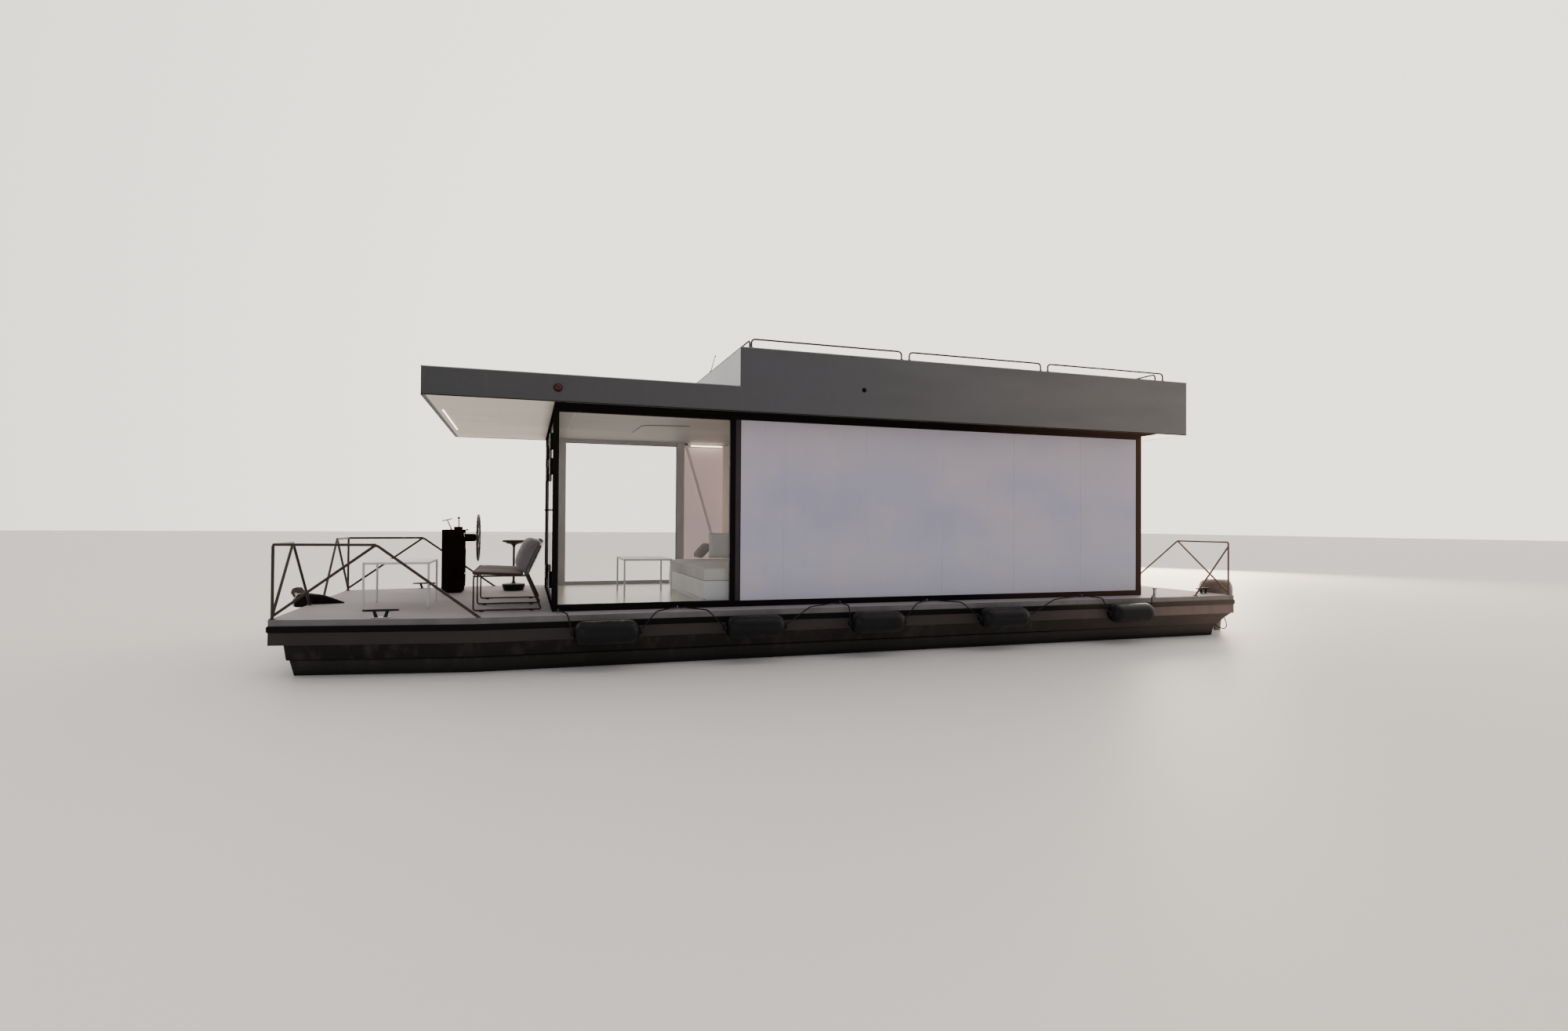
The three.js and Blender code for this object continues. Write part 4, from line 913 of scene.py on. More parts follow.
# Cabin floor: pale oiled boards, laid fore and aft in staggered rows with narrow dark joints. The floor lies
# on the deck, between the cabin's frames.
floor_board, tree, shader = new_finish("floor_board", (0.52, 0.49, 0.42), 0.28)
place = object_place(tree)
layout = {"Vector": place, "Scale": 1.0, "Mortar Size": 0.002, "Brick Width": 1.2, "Row Height": 0.14}
shades = {"Color1": (0.64, 0.6, 0.49, 1), "Color2": (0.58, 0.54, 0.43, 1), "Mortar": (0.28, 0.25, 0.2, 1)}
boards = node(tree, "TexBrick", {**layout, **shades})
grain = ramp(tree, noise(tree, 30, (0.12, 1, 1), 6), 0.3, 0.7, 0, 0.4)
coloured(tree, shader, mixed(tree, grain, boards.outputs["Color"], (0.52, 0.47, 0.39)))
bumped(tree, shader, boards.outputs["Fac"], 0.3, -0.001)
nodes["cabin_floor"].material_slots[0].material = floor_board

# Cabin frames: black aluminium frames along the sides and across the front, with a white bulkhead between the
# saloon and the room behind it. A slanting white brace, with a painted warm tint and glow, stands behind the
# starboard glass.
dull_black, tree, shader = new_finish("frame_black.dull", (0.009, 0.0078, 0.0078), 0.8, shine=0.0)
# Painted sunlight: the black frames turn warm brown towards the stern.
painted_sunlight = towards_stern(tree, 5.0, 7.85)
coloured(tree, shader, mixed(tree, painted_sunlight, (0.01, 0.0086, 0.0085), (0.075, 0.044, 0.033)))
bumped(tree, shader, noise(tree, 220), 0.1, 0.0006)
for name in ("side_frame_port", "side_frame_starboard", "front_frame"):
    softened(name, dull_black, 0.004)
softened("bulkhead", white_paint, 0.004)
glowing_brace_white, tree, shader = new_finish("white_paint.glow", (0.7, 0.66, 0.62), 0.5)
# Painted light: the brace is given a warm tint and a faint glow, as if lit through the panel.
shader.inputs["Emission Color"].default_value = (1.0, 0.74, 0.6, 1)
shader.inputs["Emission Strength"].default_value = 0.06
bumped(tree, shader, noise(tree, 220), 0.1, 0.0006)
softened("window_brace", glowing_brace_white, 0.003)

# Linings and covers: pale boards line the frames inside. Outside, black strips close the gap under the roof's
# overhang, and a dark grey strip covers each middle post.
lining_fore = 0.0605
lining_foot = 0.0255
lining_head = 2.1995
lining_paint = weathered("lining_paint", (0.5, 0.45, 0.43), (0.43, 0.385, 0.37), 0.5, 0, 3, 220, 0.1)
bm = bmesh.new()
for sign in (-1, 1):
    y = sorted((1.6405 * sign, 1.6448 * sign))
    slab(bm, at(lining_fore, y[0], 2.146), at(1.94, y[1], lining_head))
    slab(bm, at(lining_fore, y[0], lining_foot), at(1.94, y[1], 0.0665))
    slab(bm, at(1.95, y[0], lining_foot), at(2.066, y[1], lining_head))
    slab(bm, at(2.12, y[0], 2.146), at(2.755, y[1], lining_head))
slab(bm, at(lining_fore, 1.628, lining_foot), at(0.289, 1.6448, lining_head))
show(bm, "cabin_linings", lining_paint, rounding=0.0015)
bm = bmesh.new()
for sign in (-1, 1):
    y = sorted((1.7052 * sign, 1.96 * sign))
    slab(bm, at(0.0, y[0], 2.192), at(7.806, y[1], 2.1999))
show(bm, "overhang_cover_strips", dull_black, rounding=0.0015)
bm = bmesh.new()
for sign in (-1, 1):
    y = sorted((1.704 * sign, 1.7085 * sign))
    slab(bm, at(2.006, y[0], 0.07), at(2.06, y[1], 2.143))
post_cover = weathered("frame_black.post", (0.045, 0.036, 0.037), (0.055, 0.045, 0.046), 0.6, 0, 3, 220, 0.1,
                       0.1)
show(bm, "mid_post_covers", post_cover, rounding=0.001)

# Curtains: one length of pale unlined cloth a side, gathered to a narrow bundle beside the bulkhead. Each
# hangs from the ceiling and ends just above the floor. The cloth carries a faint warm painted glow.
curtain_cloth_glow, tree, shader = new_finish("linen_fabric.curtain_glow", (0.66, 0.6, 0.54), 0.9)
shader.inputs["Emission Color"].default_value = (1.0, 0.76, 0.58, 1)
shader.inputs["Emission Strength"].default_value = 0.12
bumped(tree, shader, noise(tree, 500), 0.3, 0.0008)
for name, sign in (("port", -1), ("starboard", 1)):
    bm = bmesh.new()
    folds = []
    for k in range(37):
        folds.append((2.66 + 0.09 * k / 36, sign * (1.55 + 0.035 * math.sin(1.9 * k + 0.4 * math.sin(k)))))
    rows = [outline(bm, [at(x, y, z) for x, y in folds], closed=False) for z in (0.05, 1.1, 2.17)]
    skinned(bm, rows, ends="open")
    curtain = show(bm, "cabin_curtain_" + name, curtain_cloth_glow, smooth=80)
    curtain.modifiers.new("thick", "SOLIDIFY").thickness = 0.002

# Aft wall: a plain sheet wall across the stern end of the cabin. It has the roof's grey paint, which is
# painted lighter and warmer towards the stern as painted sunlight, and carries faint streaks below the
# roof's edge.
roof_paint, tree, shader = new_finish("roof_paint", (0.12, 0.118, 0.115), 0.42, shine=0.2)
# Painted sunlight: the grey grows lighter towards the middle and light and warm towards the stern.
run = towards_stern(tree, -1.3, 3.0)
body = mixed(tree, run, (0.062, 0.062, 0.066), (0.105, 0.104, 0.113))
run = towards_stern(tree, 3.0, 8.3)
body = mixed(tree, run, body, (0.21, 0.198, 0.188))
patches = ramp(tree, noise(tree, 1.4, (0.5, 1, 2)), 0.35, 0.7, 0, 0.3)
body = mixed(tree, patches, body, (0.085, 0.082, 0.082))
streaks = ramp(tree, noise(tree, 16, (1, 1, 0.05), 5), 0.55, 0.8)
coloured(tree, shader, mixed(tree, ramp(tree, streaks, 0, 1, 0, 0.07), body, (0.2, 0.19, 0.18)))
bumped(tree, shader, noise(tree, 260), 0.12, 0.0006)
softened("aft_wall", roof_paint, 0.003)

# Ribbed panels: translucent multiwall sheets, lilac-white, with fine vertical ribs and joint strips between
# the sheets. Their colour is mottled with painted light and shade from what stands behind them, is painted
# lighter low and pinker high as a painted reflection, and the sunny side has a painted warm glow inside.
ribbed, tree, shader = new_finish("ribbed_plastic", (0.5, 0.48, 0.52), 0.35, shine=0.4)
height = along(tree, "Z")
# Painted light and shade: the mottle, the lighter bluish band low and the pinker band high stand for what
# shows through the sheets and what they reflect.
patches = ramp(tree, noise(tree, 1.1, (0.6, 1, 1), 2), 0.38, 0.66)
body = mixed(tree, patches, (0.49, 0.49, 0.65), (0.61, 0.56, 0.64))
above = ramp(tree, height, deck_top + 1.3, deck_top + 1.75)
below = ramp(tree, height, deck_top + 1.0, deck_top + 0.6)
body = mixed(tree, ramp(tree, below, 0, 1, 0, 0.5), body, (0.6, 0.6, 0.72))
body = mixed(tree, ramp(tree, above, 0, 1, 0, 0.45), body, (0.67, 0.58, 0.62))
painted_backlight_blotches = ramp(tree, noise(tree, 2.0, (1, 1, 0.8), 3), 0.5, 0.75, 0, 0.4)
body = mixed(tree, painted_backlight_blotches, body, (0.7, 0.6, 0.64))
ribs = waves(tree, 31.4, "X")
body = mixed(tree, ramp(tree, ribs, 0.0, 0.25, 0.22, 0), body, (0.36, 0.34, 0.4))
seams = waves(tree, 0.62832, "X")
coloured(tree, shader, mixed(tree, ramp(tree, seams, 0.0, 0.0016, 0.1, 0), body, (0.36, 0.33, 0.38)))
shader.inputs["Coat Weight"].default_value = 0.3
shader.inputs["Coat Roughness"].default_value = 0.15
# Painted light: the inside face on the sunny side glows warm, for sunlight coming through the sheets.
inner_face = ramp(tree, facing_share(tree, "Y"), -0.4, -0.8)
sunny_side = ramp(tree, along(tree, "Y"), 0, 1)
glow = node(tree, "Math", {0: inner_face, 1: sunny_side}, operation="MULTIPLY").outputs[0]
tree.links.new(mixed(tree, 0.7, body, (1.0, 0.56, 0.38)), shader.inputs["Emission Color"])
tree.links.new(ramp(tree, glow, 0, 1, 0, 0.36), shader.inputs["Emission Strength"])
bumped(tree, shader, ribs, 0.35, 0.0015)
for name, sign in (("port", -1), ("starboard", 1)):
    softened("ribbed_panel_" + name, ribbed, 0.002)
    bm = bmesh.new()
    for x in (2.6, 3.65, 4.7, 5.75, 6.8):
        slab(bm, at(x - 0.006, sign * 1.7 - 0.0015, 0.069), at(x + 0.006, sign * 1.7 + 0.0015, 2.143))
    show(bm, "ribbed_panel_joints_" + name, ribbed, rounding=0.0015)

# Glass: one pane of clear float glass a side, ahead of the ribbed panels. Each is held in its frame by black
# rubber beads, inside and out.
clear_glass, tree, shader = new_finish("clear_glass", (0.9, 0.93, 0.92), 0.02, shine=0.6)
gloss = node(tree, "Fresnel", {"IOR": 1.5}).outputs["Fac"]
tree.links.new(ramp(tree, gloss, 0.04, 0.7, 0.05, 0.8), shader.inputs["Alpha"])
for name in ("side_glass_port", "side_glass_starboard"):
    nodes[name].material_slots[0].material = clear_glass
for name, sign in (("port", -1), ("starboard", 1)):
    low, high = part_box("side_glass_" + name)
    bm = bmesh.new()
    for y in (low.y - 0.004, high.y + 0.004):
        around = [(high.x, low.z), (high.x, high.z), (low.x, high.z), (low.x, low.z)]
        start = (low.x + 0.5, low.z)
        tube(bm, [Vector((x, y, z)) for x, z in [start] + around + [start]], 0.0045, 0.01, 6)
    show(bm, "side_glass_beads_" + name, rub_rubber)

# Folding front: four panes of toughened glass in black hinge blocks, with clamp patches at the pivots, black
# seals along their upright edges and a T-shaped handle through each of the two middle panes.
glass_fore = 0.0235
glass_aft = 0.0365
hinge_heights = (0.28, 1.61, 1.905)
handle_height = 1.11
for side, sign in (("port", -1), ("starboard", 1)):
    middle = 0.8085 * sign
    for kind, inner, outer in (("hung", 0.8165, 1.611), ("led", 0.006, 0.8005)):
        node_name = "front_leaf_" + kind + "_" + side
        leaf_body = "leaf_" + kind + "_" + side
        low_y, high_y = sorted((inner * sign, outer * sign))
        bm = bmesh.new()
        slab(bm, at(0.024, low_y, 0.03), at(0.036, high_y, 2.14))
        show(bm, "pane_" + kind + "_" + side, clear_glass, leaf_body, [node_name], rounding=0.0015)
        bm = bmesh.new()
        near = (inner if kind == "hung" else outer - 0.052) * sign
        block_y = sorted((near, near + 0.052 * sign))
        for z in hinge_heights:
            slab(bm, at(-0.008, block_y[0], z - 0.095), at(glass_fore, block_y[1], z + 0.095))
            slab(bm, at(glass_aft, block_y[0], z - 0.095), at(0.05, block_y[1], z + 0.095))
        if kind == "hung":
            patch_y = sorted((1.549 * sign, 1.611 * sign))
            for z in (0.027, 2.05):
                slab(bm, at(0.016, patch_y[0], z), at(glass_fore, patch_y[1], z + 0.093))
                slab(bm, at(glass_aft, patch_y[0], z), at(0.054, patch_y[1], z + 0.093))
        show(bm, "hinge_blocks_" + kind + "_" + side, dull_black, leaf_body, rounding=0.002)
        bm = bmesh.new()
        spans = [(-0.03, 0.03)] if kind == "hung" else [(-0.09, -0.0303), (0.0303, 0.09)]
        for z in hinge_heights:
            for low_z, high_z in spans:
                barrel = [(0, low_z), (0.007, low_z + 0.0003), (0.007, high_z - 0.0003), (0, high_z)]
                turned(bm, barrel, Matrix.Translation(at(-0.0105, middle, z)), 16)
                ear_y = sorted((middle, middle + (0.012 if kind == "hung" else -0.012) * sign))
                slab(bm, at(-0.0138, ear_y[0], z + low_z), at(-0.0081, ear_y[1], z + high_z))
            for dz in (-0.07, 0.0, 0.07):
                spot = at(-0.008, sum(block_y) / 2 + (0.008 if kind == "hung" else -0.008) * sign, z + dz)
                ahead = Matrix.Translation(spot) @ Matrix.Rotation(-math.pi / 2, 4, "Y")
                turned(bm, [(0.006, 0), (0.006, 0.001), (0.004, 0.002), (0, 0.0022)], ahead, 12)
        if kind == "hung":
            for low_z, high_z in ((0.0203, 0.032), (2.138, 2.1497)):
                pivot = Matrix.Translation(at(0.042, 1.599 * sign, 0))
                turned(bm, [(0, low_z), (0.008, low_z), (0.008, high_z), (0, high_z)], pivot, 16)
        else:
            handle_y = 0.068 * sign
            for x in (glass_fore, glass_aft):
                collar = Matrix.Translation(at(x, handle_y, handle_height)) @ facing_aft
                turned(bm, [(0.017, -0.0035), (0.017, 0.0035)], collar, 20)
        show(bm, "leaf_fittings_" + kind + "_" + side, bright_steel, leaf_body)
        bm = bmesh.new()
        for edge, inwards in ((inner, 0.009), (outer, -0.009)):
            across = sorted((edge * sign, (edge + inwards) * sign))
            slab(bm, at(0.0215, across[0], 0.031), at(0.024, across[1], 2.139))
            slab(bm, at(0.036, across[0], 0.031), at(0.0385, across[1], 2.139))
        if kind == "led":
            through = [at(x, handle_y, handle_height) for x in (-0.0379, 0.0979)]
            tube(bm, through, 0.0095, 0, 16)
            for x in (-0.038, 0.098):
                ends = [at(x, handle_y + d, handle_height) for d in (-0.035, -0.031, 0.031, 0.035)]
                tube(bm, ends, [0.007, 0.01, 0.01, 0.007], 0, 16)
        show(bm, "leaf_seals_" + kind + "_" + side, dull_black, leaf_body)

# Aft door: a flush black leaf with three hinges and a lever handle. Its one window is a clear pane, set in
# the upper half of the leaf.
softened("aft_door", frame_black, 0.002)
bm = bmesh.new()
slab(bm, at(7.7815, -0.2305, 0.8995), at(7.7905, 0.2305, 1.8005))
show(bm, "aft_door_pane", clear_glass, "aft_door", rounding=0.001)

# Roof: one painted body with its raised step. A fine pale edge strip runs along the top of its fascia and a
# drip edge along the foot. The sunken terrace is laid with grooved boards.
softened("roof_body", roof_paint, 0.006)
edge_strip = weathered("edge_strip", (0.34, 0.33, 0.32), (0.27, 0.26, 0.25), 0.4, 0.2, 3, 200, 0.1)
roof_fore = -1.262
roof_aft = 8.298
step_x = 1.979
canopy_strip = 2.474
step_strip = 2.911
bm = bmesh.new()
for sign in (-1, 1):
    y = sorted((2.0 * sign, 2.003 * sign))
    slab(bm, at(roof_fore, y[0], canopy_strip), at(step_x, y[1], canopy_strip + 0.009))
    slab(bm, at(step_x, y[0], step_strip), at(roof_aft, y[1], step_strip + 0.009))
for x, z in ((roof_fore, canopy_strip), (step_x, step_strip)):
    slab(bm, at(x - 0.003, -2.003, z), at(x, 2.003, z + 0.009))
show(bm, "roof_edge_strip", edge_strip, rounding=0.001)
bm = bmesh.new()
for sign in (-1, 1):
    y = sorted((1.994 * sign, 2.002 * sign))
    slab(bm, at(roof_fore, y[0], 2.196), at(roof_aft, y[1], 2.206))
slab(bm, at(roof_fore - 0.002, -2.0, 2.196), at(roof_fore + 0.006, 2.0, 2.206))
show(bm, "roof_drip_edge", frame_black, rounding=0.001)
step_face, tree, shader = new_finish("step_face", (0.37, 0.41, 0.45), 0.3)
cloudy = ramp(tree, noise(tree, 2), 0.3, 0.7)
coloured(tree, shader, mixed(tree, cloudy, (0.335, 0.39, 0.44), (0.29, 0.345, 0.39)))
bumped(tree, shader, noise(tree, 220), 0.1, 0.0006)
bm = bmesh.new()
slab(bm, at(step_x - 0.004, -1.99, 2.49), at(step_x, 1.99, 2.905))
show(bm, "roof_step_face", step_face, rounding=0.001)
terrace_board, tree, shader = new_finish("terrace_board", (0.22, 0.19, 0.16), 0.7)
grooves = waves(tree, 2.2, "Y")
grain = ramp(tree, noise(tree, 25, (0.1, 1, 1), 6), 0.3, 0.7)
body = mixed(tree, grain, (0.25, 0.21, 0.17), (0.17, 0.145, 0.12))
coloured(tree, shader, mixed(tree, ramp(tree, grooves, 0.02, 0.05, 1, 0), body, (0.04, 0.035, 0.03)))
bumped(tree, shader, ramp(tree, grooves, 0.0, 0.06), 0.6, 0.003)
bm = bmesh.new()
slab(bm, at(2.135, -1.844, 2.6003), at(7.809, 1.844, 2.604))
show(bm, "roof_terrace_boards", terrace_board, rounding=0.001)

# Ceiling: pale board in a shallow recess under the roof, with soft streaks and hardly visible seams. Strips
# of light and a thin curtain track are set in it. Under the fore canopy and the stern overhang it has a
# painted warm glow.
ceiling_face = 2.1998
strip_foot = 2.196
ceiling_board, tree, shader = new_finish("ceiling_board", (0.6, 0.57, 0.51), 0.5)
seams = waves(tree, 0.32, "X")
cloudy = ramp(tree, noise(tree, 1.3, (0.35, 1, 1), 3), 0.3, 0.75)
body = mixed(tree, cloudy, (0.54, 0.49, 0.43), (0.4, 0.37, 0.335))
coloured(tree, shader, mixed(tree, ramp(tree, seams, 0.0, 0.0004, 0.5, 0), body, (0.36, 0.33, 0.3)))
# Painted light: a warm glow under the fore canopy and a bright one under the stern overhang.
shader.inputs["Emission Color"].default_value = (1.0, 0.86, 0.66, 1)
canopy_painted_glow = towards_stern(tree, -0.1, 0.02, 0.26, 0)
stern_painted_glow = towards_stern(tree, 7.75, 7.85, 0, 2.4)
soffit_painted_glow = node(tree, "Math", {0: canopy_painted_glow, 1: stern_painted_glow}, operation="ADD").outputs[0]
tree.links.new(soffit_painted_glow, shader.inputs["Emission Strength"])
bumped(tree, shader, noise(tree, 240), 0.12, 0.0006)
nodes["ceiling"].material_slots[0].material = ceiling_board
strip_light, tree, shader = new_finish("strip_light", (0.9, 0.8, 0.65), 0.4)
shader.inputs["Emission Color"].default_value = (1, 0.86, 0.66, 1)
shader.inputs["Emission Strength"].default_value = 6.0
bm = bmesh.new()
slab(bm, at(-1.166, -0.93, 2.194), at(-1.154, 1.03, ceiling_face))
slab(bm, at(2.16, 1.585, 2.15), at(2.655, 1.6, 2.166))
show(bm, "ceiling_strip_lights", strip_light, rounding=0.002)
bm = bmesh.new()
track = [at(1.11, 0.485, strip_foot), at(1.131, -0.384, strip_foot), at(1.716, -0.495, strip_foot)]
tube(bm, track, 0.0055, 0.12, 8)
show(bm, "ceiling_track", roof_paint)
bm = bmesh.new()
slab(bm, at(0.247, -1.25, strip_foot), at(0.252, 0.57, ceiling_face))
show(bm, "ceiling_seam_strip", white_paint)

# Lights and fittings on the roof's edge: red to port and green to starboard, each a domed lens on a black
# base, and a small round vent near the step.
for name, sign, colour in (("port", -1, (0.045, 0.006, 0.006)), ("starboard", 1, (0.006, 0.06, 0.025))):
    slot_name = "red_lens" if sign < 0 else "green_lens"
    lens, tree, shader = new_finish(slot_name, colour, 0.25)
    shader.inputs["Emission Color"].default_value = (*colour, 1)
    shader.inputs["Emission Strength"].default_value = 0.15
    bumped(tree, shader, waves(tree, 60.0, "Z"), 0.4, 0.001)
    outward = Matrix.Translation(at(0.03, 2.0 * sign, 2.34)) @ Matrix.Rotation(-math.pi / 2 * sign, 4, "X")
    bm = bmesh.new()
    turned(bm, [(0, 0), (0.0445, 0.0), (0.0445, 0.006), (0.041, 0.008), (0, 0.008)], outward, 36, 0.94)
    show(bm, "nav_light_base_" + name, black_plastic, stands_for=["nav_light_" + name])
    bm = bmesh.new()
    dome = eased([(0.0395, 0.0075), (0.039, 0.016), (0.034, 0.03), (0.022, 0.0405), (0.006, 0.0443)], 3)
    turned(bm, [(0, 0.0075)] + dome + [(0, 0.0445)], outward, 36, 0.94)
    show(bm, "nav_light_lens_" + name, lens, smooth=60)
bm = bmesh.new()
ring = [(0.027, 0), (0.027, 0.003), (0.024, 0.0055), (0.018, 0.006), (0.016, 0.002), (0, 0.002)]
turned(bm, ring, Matrix.Translation(at(3.476, -2.0, 2.524)) @ Matrix.Rotation(math.pi / 2, 4, "X"), 32)
show(bm, "roof_vent", black_plastic)

# Rails, antenna and ladder on the roof. The hoops are low, in three lengths a side, and painted dark bronze
# like the deck rails; the ladder is bright tube with flat treads.
parapet_top = 2.92
hoop_ends = (2.107, 7.85)
hoop_collar = [(0.02, 0.005), (0.02, 0.009), (0.013, 0.014)]
for name, sign in (("port", -1), ("starboard", 1)):
    bm = bmesh.new()
    y = 1.97 * sign
    spans = [((a, y), (b, y)) for a, b in ((2.107, 3.974), (4.078, 5.947), (6.055, 7.91))]
    spans += [((x, 1.9 * sign), (x, 0.12 * sign)) for x in hoop_ends]
    for first, last in spans:
        rise = ((first, 0.002), (first, 0.1), (last, 0.1), (last, 0.002))
        tube(bm, [at(*end, parapet_top + z) for end, z in rise], 0.01, 0.05, 12)
        for end in (first, last):
            turned(bm, hoop_collar, Matrix.Translation(at(*end, parapet_top)), 16)
    show(bm, "roof_hoops_" + name, rail_paint, stands_for=["roof_rail_" + name])
    bm = bmesh.new()
    ends = sorted((1.955 * sign, 1.985 * sign))
    slab(bm, at(2.092, ends[0], parapet_top), at(7.925, ends[1], parapet_top + 0.005))
    across = sorted((1.954 * sign, 0.06 * sign))
    for x in hoop_ends:
        slab(bm, at(x - 0.015, across[0], parapet_top), at(x + 0.015, across[1], parapet_top + 0.005))
    show(bm, "roof_rail_base_" + name, rail_paint, rounding=0.001)
antenna_foot = at(1.999, -0.42, parapet_top)
antenna_tip = at(2.059, -0.42, 3.14)
bm = bmesh.new()
foot = [(0, 0), (0.018, 0), (0.018, 0.01), (0.013, 0.015), (0.009, 0.025), (0, 0.025)]
turned(bm, foot, Matrix.Translation(antenna_foot), 20)
rod = [antenna_foot + Vector((0, 0, 0.01)), antenna_foot + Vector((0.029, 0, 0.11)), antenna_tip]
tube(bm, rod, [0.006, 0.0055, 0.005], 0, 10)
tip = [(0, -0.011), (0.006, -0.0092), (0.0102, -0.004), (0.0102, 0.004), (0.006, 0.0092), (0, 0.011)]
turned(bm, tip, Matrix.Translation(antenna_tip), 16)
show(bm, "roof_antenna_rod", rail_paint, stands_for=["roof_antenna"], smooth=60)
ladder_x = 8.343
ladder_head = 8.153
bm = bmesh.new()
for y in (0.82, 1.18):
    stile = ((ladder_x, 0.002), (ladder_x, 3.08), (ladder_head, 3.08), (ladder_head, parapet_top + 0.002))
    tube(bm, [at(x, y, z) for x, z in stile], 0.015, 0.06, 16)
    turned(bm, [(0.025, 0), (0.025, 0.006), (0.018, 0.012)], Matrix.Translation(at(ladder_x, y, 0)), 24)
    head_foot = Matrix.Translation(at(ladder_head, y, parapet_top))
    turned(bm, [(0.029, 0), (0.029, 0.006), (0.018, 0.012)], head_foot, 24)
    slab(bm, at(roof_aft, y - 0.008, 2.4), at(ladder_x, y + 0.008, 2.43))
for k in range(10):
    z = 0.27 + 0.265 * k
    tube(bm, [at(ladder_x, 0.822, z), at(ladder_x, 1.178, z)], 0.012, 0, 12)
    slab(bm, at(ladder_x - 0.013, 0.84, z + 0.0095), at(ladder_x + 0.013, 1.16, z + 0.0135))
show(bm, "roof_ladder_tube", bright_steel, stands_for=["roof_ladder"])

# Drives: a steel bracket behind each float carries an outboard motor with a moulded cowl, a slim leg with its
# plate over the propeller, a round gearcase and a skeg. The propellers are cast, with three twisted blades.
motor_plastic = weathered("motor_plastic", (0.17, 0.115, 0.095), (0.2, 0.14, 0.115), 0.3, 0, 2, 160,
                          0.02, 0.5)
cowl_half_wide = 0.205
cowl_stretch = 230 / 205
cowl = [(0.5, -0.289), (0.6, -0.26), (0.615, -0.2), (0.62, -0.14), (0.66, -0.126), (0.9, -0.113)]
cowl += [(0.97, -0.1), (0.995, -0.06), (1.0, 0.0), (0.995, 0.06), (0.95, 0.11), (0.86, 0.15), (0.7, 0.178)]
cowl = [(share * cowl_half_wide, z) for share, z in eased(cowl + [(0.5, 0.1905), (0.25, 0.198)], 3)]
leg_sections = [(-0.285, 9.3, 9.45, 0.042), (-0.42, 9.3, 9.44, 0.04), (-0.56, 9.3, 9.43, 0.032)]
leg_sections += [(-0.7, 9.31, 9.435, 0.02), (-0.76, 9.3, 9.44, 0.018)]
gearcase = [(0.012, -0.115), (0.03, -0.105), (0.044, -0.075), (0.048, -0.03), (0.048, 0.06), (0.042, 0.1)]
gearcase = [(0, -0.115)] + eased(gearcase + [(0.034, 0.1145)], 3) + [(0, 0.115)]
skeg = ((9.31, -0.79), (9.445, -0.79), (9.43, -0.93), (9.375, -0.93))
blade_hub = eased([(0.032, 0.0005), (0.0325, 0.02), (0.03, 0.05), (0.0265, 0.072), (0.02, 0.0795)], 3)
shaft_z = -0.76
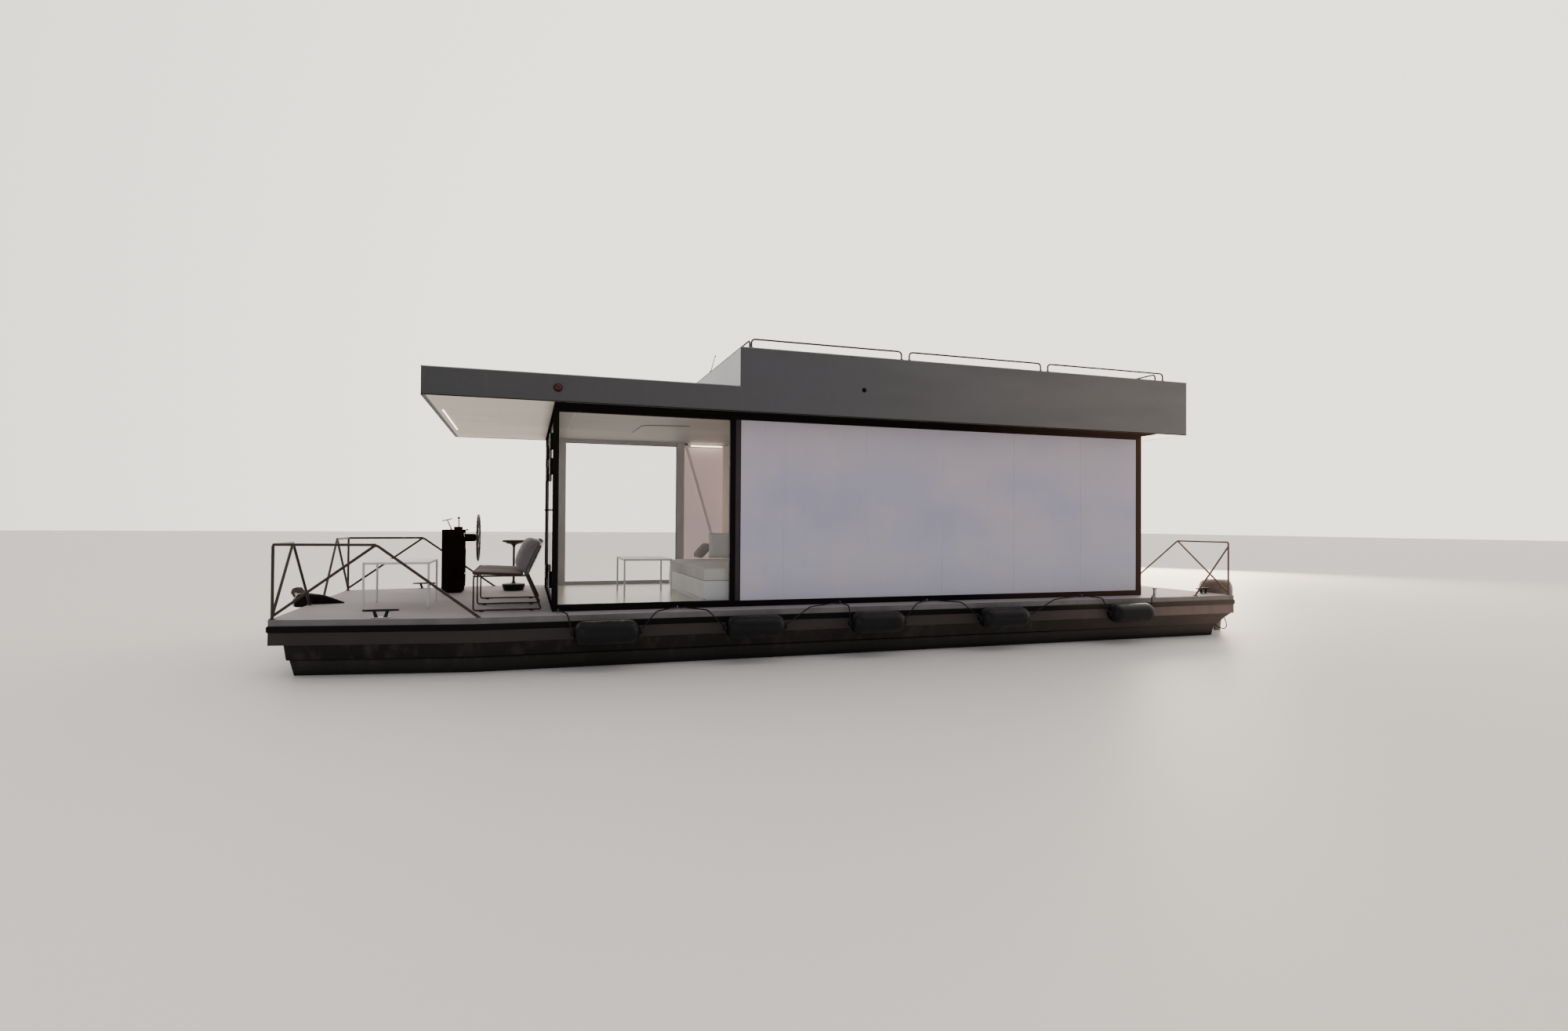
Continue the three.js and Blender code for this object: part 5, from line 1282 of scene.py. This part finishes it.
for side, sign in (("port", -1), ("starboard", 1)):
    y = 1.515 * sign
    softened("drive_bracket_" + side, bright_steel, 0.003)
    bm = bmesh.new()
    for dy in (-0.085, 0.085):
        for z in (-0.5, -0.34, -0.19):
            spot = Matrix.Translation(at(9.13, y + dy, z)) @ facing_aft
            turned(bm, [(0.012, 0), (0.012, 0.006), (0.009, 0.008), (0, 0.008)], spot, 6)
    show(bm, "drive_bracket_bolts_" + side, bright_steel)
    motor = "drive_" + side
    upright_at = Matrix.Translation(at(9.345, y, 0))
    bm = bmesh.new()
    turned(bm, [(0, -0.29)] + cowl + [(0, 0.2)], upright_at, 44, cowl_stretch)
    show(bm, "motor_cowl_" + side, motor_plastic, motor, ["drive_motor_" + side], smooth=50)
    bm = bmesh.new()
    band = [(0.2035, -0.07), (0.2068, -0.066), (0.2068, -0.058), (0.2035, -0.054)]
    turned(bm, band, upright_at, 48, cowl_stretch)
    show(bm, "motor_cowl_band_" + side, bright_steel, motor)
    bm = bmesh.new()
    leg = []
    for z, fore, aft, half_wide in leg_sections:
        place = Matrix.Translation(at((fore + aft) / 2, y, z))
        leg.append(hoop(bm, place @ Matrix.Diagonal(((aft - fore) / 2, half_wide, 1, 1)), 1, 16))
    skinned(bm, leg, ends="open")
    turned(bm, gearcase, Matrix.Translation(at(9.355, y, shaft_z)) @ facing_aft, 28)
    pivot = [(0, -0.59), (0.026, -0.59), (0.026, -0.26), (0, -0.26)]
    turned(bm, pivot, Matrix.Translation(at(9.25, y, 0)), 20)
    slab(bm, at(9.226, y - 0.02, -0.6), at(9.32, y + 0.02, -0.558))
    slab(bm, at(9.235, y - 0.03, -0.318), at(9.33, y + 0.03, -0.27))
    show(bm, "motor_leg_" + side, motor_plastic, motor, smooth=50)
    bm = bmesh.new()
    slab(bm, at(9.225, y - 0.09, -0.59), at(9.49, y + 0.09, -0.576))
    skinned(bm, [outline(bm, [at(x, y + dy, z) for x, z in skeg]) for dy in (-0.006, 0.006)])
    show(bm, "motor_fins_" + side, motor_plastic, motor, rounding=0.003)
    bm = bmesh.new()
    prop = at(9.4703, y, shaft_z)
    turned(bm, [(0, 0.0005)] + blade_hub + [(0, 0.08)], Matrix.Translation(prop) @ facing_aft, 28)
    for k in range(3):
        turn_blade = Matrix.Translation(prop) @ Matrix.Rotation(k * 2 * math.pi / 3, 4, "X")
        rims = []
        for thick in (-0.0028, 0.0028):
            skin = bmesh.ops.create_grid(bm, x_segments=7, y_segments=6, size=1)["verts"]
            for vertex in skin:
                out = (vertex.co.x + 1) / 2
                over = vertex.co.y
                chord = 0.03 + 0.052 * math.sin(math.pi * min(1, 0.18 + 7 * out / 8.6))
                pitch = sign * (1.0 - 0.5 * out)
                s = over / 2 * chord * (0.82 if out > 0.99 else 1)
                deep = thick * (1 - 0.7 * out) * (1 - abs(over) ** 3)
                reach = 0.026 + 0.097 * out - 0.12 * s * s / chord
                lengthwise = 0.04 + s * math.cos(pitch) * 0.62
                vertex.co = turn_blade @ Vector((lengthwise, s * math.sin(pitch) * 0.75 + deep, reach))
            edges = dict.fromkeys(edge for vertex in skin for edge in vertex.link_edges)
            rims += [edge for edge in edges if edge.is_boundary]
        bmesh.ops.bridge_loops(bm, edges=rims)
    show(bm, "propeller_blades_" + side, cast_alloy, "propeller_" + side, ["propeller_" + side], smooth=50)

# Drain hose: a short length of dark hose under the port stern corner. It drops from below the deck and turns
# back towards the float in an open loop.
bm = bmesh.new()
loop = [at(8.985, -1.95, -0.262), at(9.03, -1.95, -0.33), at(9.068, -1.95, -0.42), at(9.035, -1.95, -0.47)]
loop += [at(8.955, -1.948, -0.462), at(8.89, -1.945, -0.425), at(8.872, -1.94, -0.412)]
way = [Vector(p) for p in eased(loop)]
tube(bm, way, 0.0065, 0, 8)
hose = show(bm, "drain_hose", rope_black, smooth=80)
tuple(way[0])
run_length(way)
